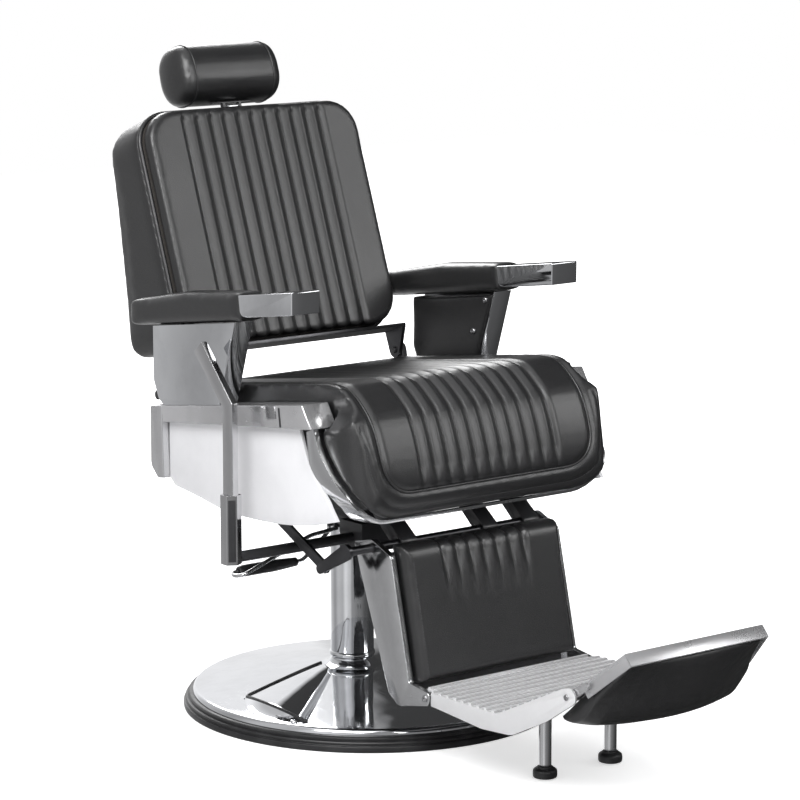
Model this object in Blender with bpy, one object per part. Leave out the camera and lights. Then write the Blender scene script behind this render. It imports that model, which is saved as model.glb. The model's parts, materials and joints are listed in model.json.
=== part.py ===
"""Hydraulic barber chair, built as separate pieces on their joint axes.

Metres, +Z up.  The chair faces -Y, the floor is z = 0, and the column and
swivel axis stand at x = y = 0.  The chair is at its lowest height, with the
back upright, the legrest down and the kick plate folded out.
"""

import math

import bmesh
import bpy
from mathutils import Matrix, Vector

# ---------------------------------------------------------------- fits
CLEAR = 0.0003             # gap between pieces that seat on each other
PIN_FIT = 0.0004           # radial gap of a pin in its eye
SHEET = 0.003              # plated sheet metal
STEEL = 0.008              # frame and bracket plate
ROUND_STEPS = 56           # facets of the large turned pieces
SMALL_STEPS = 20           # facets of pins, rods and screws

# ---------------------------------------------------------------- base and column
SEAT_HEIGHT = 0.450        # height of the seat frame's origin on the swivel axis
BASE_RADIUS = 0.350
BASE_FORWARD = 0.057       # the disc stands this far in front of the column
RING_HEIGHT = 0.028
RING_STEP = 0.010
PLATE_RADIUS = BASE_RADIUS - 0.032
PLATE_THICKNESS = 0.008
DOME_RADIUS = BASE_RADIUS - 0.017
DOME_WALL = 0.002
RIM_HEIGHT = 0.010
DOME_CROWN = 0.064         # height of the dome where its neck starts
NECK_TOP = 0.079
NECK_RADIUS = 0.037
NECK_FLARE = 0.060
FAIRING_TURN = math.radians(209)
FAIRING_SPREAD = math.radians(19)
FAIRING_RISE = 0.016
TUBE_RADIUS = 0.0335
TUBE_BORE = 0.0285
TUBE_TOP = SEAT_HEIGHT - 0.150
ROD_RADIUS = 0.0225
PISTON_HEIGHT = 0.020
PISTON_LOW = 0.045
SLEEVE_RADIUS = 0.0407
SLEEVE_BORE = 0.0345
SLEEVE_LOW = 0.0805
HEAD_LOW = SEAT_HEIGHT - 0.0967
BEARING_HEIGHT = 0.0075
HEAD_THICKNESS = 0.012
HEAD_HALF_X = 0.075
HEAD_HALF_Y = 0.090

# ---------------------------------------------------------------- seat unit, in its own tilted frame
SEAT_TILT = math.radians(8)
TRAY_LOW = -0.060
TRAY_HALF = 0.195
TRAY_FRONT = -0.285
TRAY_REAR = 0.130
TRAY_SHEET = 0.006
BOARD_LOW = 0.0971
BOARD_SHEET = 0.0105
BOARD_FRONT = -0.300
BOARD_REAR = 0.132
BOARD_NARROW = 0.050       # behind this the board is narrow, to clear the recline link
BOARD_HALF_REAR = 0.235
RAIL_INNER = 0.268
RAIL_OUTER = 0.326
RAIL_TOP = 0.140
RAIL_REAR = 0.131
RAIL_REAR_LOW = 0.1096
NOSE_TOP_FRONT = -0.2989
NOSE_LOW_FRONT = -0.3186
NOSE_LOW = 0.0971
CAP_DEPTH = 0.037
CAP_LOW = 0.006
PANEL_OUTER = 0.311
PANEL_SHEET = 0.008
BAND_INNER = PANEL_OUTER - 0.0107
BAND_DEPTH = 0.038
BAND_CORNER = 0.100        # radius of the band where it turns under the cushion
BAND_SHEET = 0.006
CUSHION_HALF = RAIL_INNER - 0.0025
KNEE_HALF = PANEL_OUTER - 0.011         # the cushion widens below the rails, over the knee roll
KNEE_CORNER = 0.063        # seen from above, the knee roll's corners
KNEE_SLOPE = (0.128, 0.088) # heights between which it widens
CUSHION_TOP = 0.1725
CUSHION_LOW = -0.0730
CUSHION_REAR = 0.132
REAR_PANEL_HALF = 0.225

# chrome band: its front edge, from the rail down and forward under the cushion
BAND_LINE = [(-0.3063, 0.0968), (-0.3160, 0.0596), (-0.3398, 0.0209), (-0.3650, -0.0135), (-0.3750, -0.0450),
             (-0.3640, -0.0790)]
# lower edge of the side panel, front to rear
PANEL_LOW_LINE = [(-0.3500, -0.0640), (-0.2706, -0.0724), (-0.1827, -0.0721), (-0.0781, -0.0620),
                  (-0.0034, -0.0479), (0.0566, -0.0294), (0.1325, -0.0086)]
# knee roll of the cushion, from the flat top round to the underside
ROLL_LINE = [(-0.2845, CUSHION_TOP), (-0.3253, 0.1655), (-0.3570, 0.1400), (-0.3862, 0.1038),
             (-0.4020, 0.0487), (-0.4082, -0.0059), (-0.4020, -0.0430), (-0.3840, CUSHION_LOW - 0.004)]

# ---------------------------------------------------------------- arms, in the seat frame
ARM_INNER = 0.2823
ARM_OUTER = 0.3225
ARM_FOOT = 0.1403
ARM_HEAD = 0.2865
ARM_REAR = 0.138
ARM_BULGE = 0.1515
ARM_FRONT_FOOT = -0.045
ARM_FRONT_HEAD = -0.115
PAD_INNER = 0.268
PAD_OUTER = 0.3295
PAD_REAR = 0.2044
PAD_THICKNESS = 0.056
CAP_REAR = -0.1455
CAP_FRONT = -0.3015
CAP_THICKNESS = 0.040
CAP_RAISE = 0.009          # underside of the hand cap above the arm's head

# ---------------------------------------------------------------- back, in its own frame on the recline pivot
PIVOT_REAR = 0.161         # recline pivot in the seat frame
PIVOT_HIGH = 0.184
BACK_RAKE = math.radians(19.8)
BACK_HALF = 0.250
BACK_FRONT = -0.050
BACK_PAD = 0.032
BACK_LOW = 0.045
BACK_HIGH = 0.500
BACK_CORNER = 0.065
BOARD_THICK = 0.008
COVER_WALL = 0.010
COVER_TOP_REAR = 0.083
COVER_TOP_HIGH = 0.4714
COVER_LOW_REAR = 0.1568
COVER_LOW_HIGH = 0.0883
HINGE_X = 0.250            # inner face of the hinge arms and cranks
CRANK_LENGTH = 0.085       # both cranks: they and the link form a parallelogram
CRANK_TURN = math.radians(60)
PIN_RADIUS = 0.006
LINK_PIN = 0.005
LINK_WIDTH = 0.020
LINK_SHEET = 0.006
HEADREST_FLOOR = 0.0095    # height of the tilt pin above the top of the back
BAR_DEPTH = 0.015
BAR_HALF = 0.016
BAR_SHEET = 0.006
BAR_LENGTH = 0.200
HEADREST_HALF = 0.1095
HEADREST_DEPTH = 0.106
HEADREST_TALL = 0.118
HEADREST_SETBACK = 0.015   # centre of the cushion behind the bar

# ---------------------------------------------------------------- legrest, in its own frame on its pivot
LEG_PIVOT_Y = -0.2945      # legrest pivot in the seat frame
LEG_PIVOT_Z = -0.1262
LEG_RAKE = math.radians(13)
SHAFT_RADIUS = 0.008
LEG_PAD_HALF = 0.1838
LEG_PAD_CORNER = 0.018
LEG_PAD_ROLL = 0.032       # round top edge of the pad, which clears the band as it rises
LEG_PAD_FRONT = -0.073
LEG_PAD_THICK = 0.042
LEG_PAD_LOW = -0.248
LEG_PAD_HIGH = 0.006
LEG_BAR_INNER = LEG_PAD_HALF + 0.0007
LEG_BAR_SHEET = 0.012
HANGER_RUN = 0.048

# ---------------------------------------------------------------- footrest, level frame on the foot screw
FOOT_Y = -0.0937
FOOT_Z = -0.2690
CHEEK_OUTER = LEG_BAR_INNER + LEG_BAR_SHEET + 0.001
CHEEK_SHEET = 0.004
TREAD_REAR = 0.016
NOTCH_FRONT = -0.0125      # the tread is notched round the feet of the legrest bars
TREAD_TOP = 0.012
TREAD_BEND = -0.186
TREAD_THICK = 0.008
RIB_PITCH = 0.0202
RIB_WIDTH = 0.008
RIB_RISE = 0.004
RAMP_RISE = math.radians(25)
RAMP_LENGTH = 0.178
STEM_Y = -0.1745
STEM_X = 0.076
STEM_RADIUS = 0.011
FOOT_RADIUS = 0.0215
FOOT_HEIGHT = 0.020
FOOT_AIR = 0.002           # rubber foot above the floor at the lowest seat height

# ---------------------------------------------------------------- kick plate, in its own frame on its pin
KICK_Y = -0.363
KICK_Z = 0.079
KICK_RISE = math.radians(42)
KICK_NEAR = -0.034
KICK_FAR = -0.127
KICK_HALF_NEAR = CHEEK_OUTER - 0.011
KICK_HALF_FAR = KICK_HALF_NEAR - 0.029
KICK_PLATE = 0.006
KICK_CHEEK = 0.003
KICK_LIP = 0.024           # height of the strip and cheeks round the plate
KICK_PIN = 0.005

# the belly from behind the pin to the far edge: place, underside at its middle, underside at its sides
BELLY_LINE = [(0.055, -0.018, -0.014), (0.035, -0.047, -0.032), (0.010, -0.069, -0.038), (-0.020, -0.080, -0.034),
              (-0.055, -0.074, -0.027), (-0.090, -0.052, -0.024), (-0.126, -0.026, -0.022)]
BELLY_SQUARE = 0.45        # how boxy the belly is across, behind the pin
BELLY_ROUND = 1.20         # and towards the far edge

# ---------------------------------------------------------------- pump lever and release loop
LEVER_X = -0.360
LEVER_Y = -0.113
LEVER_Z = SEAT_HEIGHT - 0.114
LEVER_SHEET = 0.012
LEVER_WIDTH = 0.030
SOCKET_RADIUS = 0.019
SOCKET_LOW = -0.010
SOCKET_HIGH = 0.1155
LEVER_ELBOW = 0.275
HANDLE_RUN = 0.088
HANDLE_TURN = math.radians(43)
LEVER_SHAFT_RADIUS = 0.010
PUMP_NEAR = -0.090
LOOP_ROD = 0.004
LOOP_X = -0.063
LOOP_Y = -0.030
LOOP_Z = SEAT_HEIGHT - 0.101
LOOP_GRIP_Z = LOOP_Z - 0.070

FINISHES = {
    "rubber": ((0.03, 0.03, 0.03), 0.65, 0.0),
    "chrome": ((0.80, 0.80, 0.82), 0.08, 1.0),
    "steel": ((0.45, 0.45, 0.46), 0.35, 1.0),
    "black_steel": ((0.03, 0.03, 0.03), 0.45, 0.0),
    "gloss_white": ((0.87, 0.87, 0.90), 0.15, 0.0),
    "leather": ((0.03, 0.03, 0.03), 0.45, 0.0),
    "plywood": ((0.45, 0.33, 0.20), 0.60, 0.0),
    "aluminium": ((0.80, 0.80, 0.80), 0.30, 1.0),
    "grip": ((0.02, 0.02, 0.02), 0.50, 0.0),
}


# ================================================================ modelling tools
def clear_scene():
    for thing in list(bpy.data.objects):
        bpy.data.objects.remove(thing, do_unlink=True)


def finish_for(name, slot):
    """A Principled material of its own for one piece."""
    colour, roughness, metallic = FINISHES[slot]
    material = bpy.data.materials.new(f"{name}_{slot}")
    material.use_nodes = True
    shader = material.node_tree.nodes["Principled BSDF"]
    shader.inputs["Base Color"].default_value = (*colour, 1.0)
    shader.inputs["Roughness"].default_value = roughness
    shader.inputs["Metallic"].default_value = metallic
    return material


def axis_frame(name, parent, place, tilt=0.0):
    """An empty that stands on a joint axis, turned about X."""
    empty = bpy.data.objects.new(name, None)
    bpy.context.collection.objects.link(empty)
    empty.location = place
    empty.rotation_euler = (tilt, 0.0, 0.0)
    empty.parent = parent
    return empty


def add_piece(name, slot, parent, bm, smooth=False):
    """Turn a bmesh into one named piece under its frame."""
    bmesh.ops.recalc_face_normals(bm, faces=bm.faces)
    mesh = bpy.data.meshes.new(name)
    bm.to_mesh(mesh)
    bm.free()
    if smooth:
        mesh.shade_smooth()
        mesh.set_sharp_from_angle(angle=math.radians(40))
    piece = bpy.data.objects.new(name, mesh)
    bpy.context.collection.objects.link(piece)
    piece.parent = parent
    mesh.materials.append(finish_for(name, slot))
    return piece


def soften(piece, width, segments=2):
    """Round the piece's edges with a Bevel."""
    bevel = piece.modifiers.new("edges", "BEVEL")
    bevel.width = width
    bevel.segments = segments
    bevel.limit_method = "ANGLE"
    bevel.angle_limit = math.radians(35)


def prism(bm, outline, low, high, axis="X"):
    """Extrude a closed outline along X (y, z points), Y (x, z) or Z (x, y)."""
    place = {
        "X": lambda a, b, t: (t, a, b),
        "Y": lambda a, b, t: (a, t, b),
        "Z": lambda a, b, t: (a, b, t),
    }[axis]
    near = [bm.verts.new(place(a, b, low)) for a, b in outline]
    far = [bm.verts.new(place(a, b, high)) for a, b in outline]
    bm.faces.new(near)
    bm.faces.new(list(reversed(far)))
    count = len(outline)
    for i in range(count):
        j = (i + 1) % count
        bm.faces.new((near[j], near[i], far[i], far[j]))


def extruded(name, slot, parent, outline, span, axis="X", edge=0.0, segments=2):
    bm = bmesh.new()
    prism(bm, outline, min(span), max(span), axis)
    piece = add_piece(name, slot, parent, bm)
    if edge:
        soften(piece, edge, segments)
    return piece


def box(name, slot, parent, x, y, z, edge=0.0, segments=2):
    outline = [(y[0], z[0]), (y[1], z[0]), (y[1], z[1]), (y[0], z[1])]
    return extruded(name, slot, parent, outline, x, "X", edge, segments)


def arc(centre, radius, start, end, steps):
    """Points along a circle from start to end angle, both included."""
    return [
        (centre[0] + radius * math.cos(start + (end - start) * i / steps),
         centre[1] + radius * math.sin(start + (end - start) * i / steps))
        for i in range(steps + 1)
    ]


def rounded_box(half, low, high, radius, steps=5):
    """A rectangle with round corners, centred on the first axis."""
    quarter = math.pi / 2
    a, b, c = half - radius, low + radius, high - radius
    return (arc((a, b), radius, -quarter, 0, steps) + arc((a, c), radius, 0, quarter, steps)
            + arc((-a, c), radius, quarter, 2 * quarter, steps)
            + arc((-a, b), radius, 2 * quarter, 3 * quarter, steps))


def rounded(corners, steps=4):
    """Round each (a, b, radius) corner of an outline with an arc."""
    points = []
    count = len(corners)
    for i, (a, b, radius) in enumerate(corners):
        here = Vector((a, b))
        if radius <= 0:
            points.append((a, b))
            continue
        to_last = (Vector(corners[i - 1][:2]) - here).normalized()
        to_next = (Vector(corners[(i + 1) % count][:2]) - here).normalized()
        half = to_last.angle(to_next) / 2
        reach = radius / math.tan(half)
        middle = here + (to_last + to_next).normalized() * (radius / math.sin(half))
        first = here + to_last * reach - middle
        last = here + to_next * reach - middle
        turn = first.angle_signed(last)
        for k in range(steps + 1):
            spoke = first.copy()
            spoke.rotate(Matrix.Rotation(-turn * k / steps, 2))
            points.append(tuple(middle + spoke))
    return points


def smooth_line(points, steps=3):
    """A curve that passes through the points."""
    nodes = [Vector(p) for p in points]
    nodes = [2 * nodes[0] - nodes[1], *nodes, 2 * nodes[-1] - nodes[-2]]
    line = []
    for a, b, c, d in zip(nodes, nodes[1:], nodes[2:], nodes[3:]):
        for k in range(steps):
            t = k / steps
            line.append(tuple(0.5 * (2 * b + (c - a) * t + (2 * a - 5 * b + 4 * c - d) * t ** 2
                                     + (3 * b - a - 3 * c + d) * t ** 3)))
    line.append(tuple(nodes[-2]))
    return line


def beside(line, distance):
    """The line moved sideways, to its left for a positive distance."""
    moved = []
    for i, here in enumerate(line):
        before = Vector(line[max(i - 1, 0)])
        after = Vector(line[min(i + 1, len(line) - 1)])
        along = (after - before).normalized()
        moved.append((here[0] - along.y * distance, here[1] + along.x * distance))
    return moved


def around(circles, steps=16):
    """The convex outline that wraps circles given as (a, b, radius)."""
    cloud = []
    for a, b, radius in circles:
        cloud += arc((a, b), radius, 0, 2 * math.pi * (steps - 1) / steps, steps - 1)
    cloud = sorted(set(cloud))

    def half_hull(points):
        chain = []
        for p in points:
            while len(chain) > 1:
                o, q = chain[-2], chain[-1]
                if (q[0] - o[0]) * (p[1] - o[1]) - (q[1] - o[1]) * (p[0] - o[0]) > 1e-9:
                    break
                chain.pop()
            chain.append(p)
        return chain[:-1]

    return half_hull(cloud) + half_hull(list(reversed(cloud)))


def turned(name, slot, parent, profile, steps=SMALL_STEPS, place=(0, 0, 0), axis="Z"):
    """Spin a closed (radius, height) profile about an axis; radius 0 closes on the axis."""
    bm = bmesh.new()
    add_turned(bm, profile, steps, place, axis)
    return add_piece(name, slot, parent, bm, smooth=True)


def add_turned(bm, profile, steps, place, axis):
    rings = []
    for radius, height in profile:
        ring = []
        for k in range(steps if radius > 0 else 1):
            turn = 2 * math.pi * k / steps
            a, b = radius * math.cos(turn), radius * math.sin(turn)
            spot = {"Z": (a, b, height), "X": (height, a, b), "Y": (a, height, b)}[axis]
            ring.append(bm.verts.new(Vector(spot) + Vector(place)))
        rings.append(ring)
    for here, there in zip(rings, rings[1:] + rings[:1]):
        if len(here) == 1 and len(there) == 1:
            continue
        for k in range(steps):
            j = (k + 1) % steps
            corners = [here[k % len(here)], here[j % len(here)], there[j % len(there)], there[k % len(there)]]
            bm.faces.new(list(dict.fromkeys(corners)))


def rod_profile(radius, low, high, chamfer=0.0005):
    return [(0, low), (radius - chamfer, low), (radius, low + chamfer),
            (radius, high - chamfer), (radius - chamfer, high), (0, high)]


def round_bar(name, slot, parent, radius, span, place, axis="X", steps=SMALL_STEPS):
    return turned(name, slot, parent, rod_profile(radius, min(span), max(span)), steps, place, axis)


def bent_rod(name, slot, parent, points, radius):
    """A round rod along a smooth path, as a bevelled curve with filled caps."""
    curve = bpy.data.curves.new(name, "CURVE")
    curve.dimensions = "3D"
    spline = curve.splines.new("POLY")
    spline.points.add(len(points) - 1)
    for point, spot in zip(spline.points, points):
        point.co = (*spot, 1.0)
    curve.bevel_depth = radius
    curve.bevel_resolution = 2
    curve.use_fill_caps = True
    piece = bpy.data.objects.new(name, curve)
    bpy.context.collection.objects.link(piece)
    piece.parent = parent
    curve.materials.append(finish_for(name, slot))
    return piece


def cutter(name, parent, bm):
    """A hidden shape that only cuts others."""
    bmesh.ops.recalc_face_normals(bm, faces=bm.faces)
    mesh = bpy.data.meshes.new(name)
    bm.to_mesh(mesh)
    bm.free()
    tool = bpy.data.objects.new(name, mesh)
    bpy.context.collection.objects.link(tool)
    tool.parent = parent
    tool.hide_render = True
    tool.display_type = "WIRE"
    return tool


def combine(piece, tool, operation="DIFFERENCE"):
    boolean = piece.modifiers.new(tool.name, "BOOLEAN")
    boolean.operation = operation
    boolean.object = tool
    boolean.solver = "EXACT"


def drill(piece, radius, y, z, span):
    """Cut a round hole along X."""
    bm = bmesh.new()
    add_turned(bm, rod_profile(radius, min(span), max(span)), SMALL_STEPS, (0, y, z), "X")
    combine(piece, cutter(f"{piece.name}_hole_{len(piece.modifiers)}", piece.parent, bm))


def sided(side, inner, outer):
    """An X span on one side of the chair, low to high."""
    return (min(side * inner, side * outer), max(side * inner, side * outer))


def weld(piece, outline, span, axis="X"):
    """Join an overlapping prism to the piece."""
    bm = bmesh.new()
    prism(bm, outline, min(span), max(span), axis)
    combine(piece, cutter(f"{piece.name}_weld_{len(piece.modifiers)}", piece.parent, bm), "UNION")


def weld_bar(piece, radius, span, place):
    """Join an overlapping round bar along X to the piece."""
    bm = bmesh.new()
    add_turned(bm, rod_profile(radius, min(span), max(span)), SMALL_STEPS, place, "X")
    combine(piece, cutter(f"{piece.name}_weld_{len(piece.modifiers)}", piece.parent, bm), "UNION")


def rectangle(a, b):
    return [(a[0], b[0]), (a[1], b[0]), (a[1], b[1]), (a[0], b[1])]


# ================================================================ where the frames meet
def turned_point(point, angle):
    """A (y, z) point of a frame tilted back by the angle, as seen from outside it."""
    y, z = point
    return (y * math.cos(angle) + z * math.sin(angle), -y * math.sin(angle) + z * math.cos(angle))


def seat_to_floor(y, z):
    """A (y, z) point of the seat frame, measured from the floor."""
    turned_y, turned_z = turned_point((y, z), SEAT_TILT)
    return (turned_y, turned_z + SEAT_HEIGHT)


def tread_origin_height():
    pivot = seat_to_floor(LEG_PIVOT_Y, LEG_PIVOT_Z)
    return pivot[1] + turned_point((FOOT_Y, FOOT_Z), LEG_RAKE)[1]


def crank_end(length, turn):
    """End of a crank that points down and to the rear of a frame."""
    return (length * math.sin(turn), -length * math.cos(turn))


# ================================================================ base and column
def dome_centre(radius):
    share = (radius - NECK_RADIUS) / (DOME_RADIUS - NECK_RADIUS)
    return -BASE_FORWARD * max(0.0, min(1.0, share))


def fairing_rise(radius, turn):
    """Height of the raised fairing over the dome, widest near the rim."""
    off = abs((turn - FAIRING_TURN + math.pi) % (2 * math.pi) - math.pi) / FAIRING_SPREAD
    along = (radius - NECK_FLARE) / (0.86 * DOME_RADIUS - NECK_FLARE)
    if off >= 1 or not 0 < along <= 1:
        return 0.0
    return FAIRING_RISE * math.sqrt(1 - off * off) * min(1.0, 3 * along)


def build_base(ground):
    rim = DOME_RADIUS - DOME_WALL - CLEAR
    turned("base_ring", "rubber", ground,
           [(PLATE_RADIUS + CLEAR, 0), (BASE_RADIUS - 0.002, 0), (BASE_RADIUS, 0.002),
            (BASE_RADIUS, RING_STEP), (BASE_RADIUS - 0.006, RING_STEP + 0.006),
            (BASE_RADIUS - 0.007, RING_HEIGHT - 0.006), (DOME_RADIUS + 0.001, RING_HEIGHT),
            (PLATE_RADIUS + CLEAR, RING_HEIGHT)],
           ROUND_STEPS, (0, -BASE_FORWARD, 0))
    turned("base_plate", "steel", ground,
           [(0, 0), (PLATE_RADIUS, 0), (PLATE_RADIUS, PLATE_THICKNESS), (0, PLATE_THICKNESS)],
           ROUND_STEPS, (0, -BASE_FORWARD, 0))
    build_dome(ground, rim)
    turned("cylinder_tube", "chrome", ground,
           [(TUBE_BORE, PLATE_THICKNESS + CLEAR), (TUBE_RADIUS, PLATE_THICKNESS + CLEAR),
            (TUBE_RADIUS, TUBE_TOP), (TUBE_BORE, TUBE_TOP)], 40)


def build_dome(ground, rim):
    """Pressed dome whose rings slide forward as they widen, with a fairing raised in it."""
    foot = RING_HEIGHT + CLEAR
    shoulder = foot + RIM_HEIGHT
    flat = [(DOME_RADIUS - 0.008) * k / 8 + NECK_FLARE * (8 - k) / 8 for k in range(8, -1, -1)]
    outer = [(DOME_RADIUS, foot), (DOME_RADIUS, shoulder - 0.004), (DOME_RADIUS - 0.003, shoulder - 0.001)]
    for radius in flat:
        share = (radius - NECK_FLARE) / (DOME_RADIUS - NECK_FLARE)
        outer.append((radius, DOME_CROWN + (shoulder - DOME_CROWN) * share ** 1.2))
    outer.append((NECK_RADIUS + 0.007, DOME_CROWN + 0.35 * (NECK_TOP - DOME_CROWN)))
    outer.append((NECK_RADIUS, NECK_TOP))
    inner = [(radius - DOME_WALL, height - (0 if radius >= rim and height == foot else DOME_WALL))
             for radius, height in reversed(outer[:-1])]
    inner.insert(0, (NECK_RADIUS - DOME_WALL, NECK_TOP))
    bm = bmesh.new()
    rings = []
    for radius, height in outer + inner:
        centre = dome_centre(radius)
        ring = []
        for k in range(ROUND_STEPS):
            turn = 2 * math.pi * k / ROUND_STEPS
            rise = fairing_rise(radius, turn)
            ring.append(bm.verts.new((radius * math.cos(turn), centre + radius * math.sin(turn), height + rise)))
        rings.append(ring)
    for here, there in zip(rings, rings[1:] + rings[:1]):
        for k in range(ROUND_STEPS):
            j = (k + 1) % ROUND_STEPS
            bm.faces.new((here[k], here[j], there[j], there[k]))
    add_piece("base_dome", "chrome", ground, bm, smooth=True)


def build_lift(lift):
    low = PISTON_LOW + PISTON_HEIGHT
    high = HEAD_LOW - BEARING_HEIGHT - 2 * CLEAR
    turned("piston_rod", "steel", lift,
           [(0, PISTON_LOW), (TUBE_BORE - PIN_FIT, PISTON_LOW), (TUBE_BORE - PIN_FIT, low),
            (ROD_RADIUS, low), (ROD_RADIUS, high), (0, high)], 32)
    bearing = high + CLEAR
    turned("thrust_bearing", "steel", lift,
           [(0.008, bearing), (SLEEVE_BORE - 0.004, bearing),
            (SLEEVE_BORE - 0.004, bearing + BEARING_HEIGHT), (0.008, bearing + BEARING_HEIGHT)], 32)


def build_column(swivel):
    top = HEAD_LOW - CLEAR
    turned("column_sleeve", "chrome", swivel,
           [(SLEEVE_BORE, SLEEVE_LOW), (SLEEVE_RADIUS - 0.001, SLEEVE_LOW), (SLEEVE_RADIUS, SLEEVE_LOW + 0.001),
            (SLEEVE_RADIUS, top), (SLEEVE_BORE, top)], 40)
    ends = [-HEAD_HALF_Y, HEAD_HALF_Y]
    slope = [(y, SEAT_HEIGHT + (TRAY_LOW - y * math.sin(SEAT_TILT)) / math.cos(SEAT_TILT) - CLEAR) for y in ends]
    head = extruded("swivel_head", "black_steel", swivel,
                    [(ends[0], HEAD_LOW), (ends[1], HEAD_LOW), slope[1], slope[0]], (-HEAD_HALF_X, HEAD_HALF_X))
    pump = rectangle((LEVER_Y - 0.032, LEVER_Y + 0.034), (LEVER_Z - 0.024, HEAD_LOW + HEAD_THICKNESS))
    weld(head, pump, (PUMP_NEAR, -0.015))
    clip = rectangle((LOOP_X - 0.010, LOOP_X + 0.010), (LOOP_Z - 0.010, HEAD_LOW + 0.002))
    for place in (LOOP_Y - 0.012, LOOP_Y + 0.006):
        weld(head, clip, (place, place + 0.004), "Y")
    bm = bmesh.new()
    add_turned(bm, rod_profile(LOOP_ROD + CLEAR, -0.03, 0.03), SMALL_STEPS, (LOOP_X, LOOP_Y, LOOP_Z), "Y")
    combine(head, cutter("clip_bore", swivel, bm))


# ================================================================ seat unit
def rail_low(y):
    """Underside of the rail, which is deeper towards its nose."""
    share = (y - RAIL_REAR) / (NOSE_LOW_FRONT - RAIL_REAR)
    return RAIL_REAR_LOW + (NOSE_LOW - RAIL_REAR_LOW) * share


def cap_front(z):
    """Slanted seam between the side panel and the rear cap."""
    return RAIL_REAR + CLEAR + 0.0142 * (RAIL_TOP - z) / (RAIL_TOP - CAP_LOW)


def build_seat_frame(seat):
    side_high = BOARD_LOW - CLEAR
    inner = TRAY_HALF - TRAY_SHEET
    channel = [(-TRAY_HALF, TRAY_LOW), (TRAY_HALF, TRAY_LOW), (TRAY_HALF, side_high), (inner, side_high),
               (inner, TRAY_LOW + TRAY_SHEET), (-inner, TRAY_LOW + TRAY_SHEET), (-inner, side_high),
               (-TRAY_HALF, side_high)]
    extruded("seat_tray", "black_steel", seat, channel, (TRAY_FRONT, TRAY_REAR), "Y")
    half = RAIL_INNER - CLEAR
    narrow = BOARD_HALF_REAR
    shape = [(-half, BOARD_FRONT), (half, BOARD_FRONT), (half, BOARD_NARROW), (narrow, BOARD_NARROW),
             (narrow, BOARD_REAR), (-narrow, BOARD_REAR), (-narrow, BOARD_NARROW), (-half, BOARD_NARROW)]
    extruded("seat_board", "plywood", seat, shape, (BOARD_LOW, BOARD_LOW + BOARD_SHEET), "Z")
    box("rear_panel", "gloss_white", seat, (-REAR_PANEL_HALF, REAR_PANEL_HALF),
        (BOARD_REAR + CLEAR, BOARD_REAR + PANEL_SHEET), (CAP_LOW, BOARD_LOW + BOARD_SHEET))


def build_seat_side(seat, side, label):
    rail = [(RAIL_REAR, RAIL_TOP), (NOSE_TOP_FRONT, RAIL_TOP), (NOSE_LOW_FRONT, NOSE_LOW), (RAIL_REAR, RAIL_REAR_LOW)]
    extruded(f"rail_{label}", "chrome", seat, rail, sided(side, RAIL_INNER, RAIL_OUTER), edge=0.0015)
    cap = rounded([(cap_front(RAIL_TOP), RAIL_TOP, 0), (RAIL_REAR + CAP_DEPTH, RAIL_TOP, 0.004),
                   (RAIL_REAR + CAP_DEPTH + 0.016, 0.030, 0.02), (RAIL_REAR + 0.034, CAP_LOW, 0.008),
                   (cap_front(CAP_LOW), CAP_LOW, 0)])
    extruded(f"rear_cap_{label}", "chrome", seat, cap, sided(side, RAIL_INNER + 0.002, RAIL_OUTER - 0.001))
    line = smooth_line(BAND_LINE)[:-5]
    top = rail_low(line[0][0] + BAND_DEPTH) - CLEAR
    seam = beside(line, BAND_DEPTH + 2 * CLEAR)
    panel = [(RAIL_REAR, RAIL_REAR_LOW - CLEAR), (seam[0][0] + 0.003, top)] + seam
    panel += smooth_line(PANEL_LOW_LINE, 2)
    panel += [(cap_front(CAP_LOW) - CLEAR, CAP_LOW)]
    extruded(f"side_panel_{label}", "gloss_white", seat, panel, sided(side, PANEL_OUTER - PANEL_SHEET, PANEL_OUTER))
    bracket = around([(PIVOT_REAR, PIVOT_HIGH, 0.014), (CUSHION_REAR + 0.015, 0.040, 0.010),
                      (CUSHION_REAR + 0.032, 0.040, 0.010)])
    inner = HINGE_X + STEEL + PIN_FIT
    plate = extruded(f"recline_bracket_{label}", "black_steel", seat, bracket,
                     sided(side, inner, RAIL_INNER + 0.002 - CLEAR))
    weld_bar(plate, PIN_RADIUS, sided(side, HINGE_X - 0.004, inner + 0.002), (0, PIVOT_REAR, PIVOT_HIGH))


def front_view(half, low, corner):
    """Front outline of the seat's knee end: straight sides, round lower corners."""
    high = CUSHION_TOP + 0.02
    return rounded([(-half, high, 0), (half, high, 0), (half, low, corner), (-half, low, corner)], 8)


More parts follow.
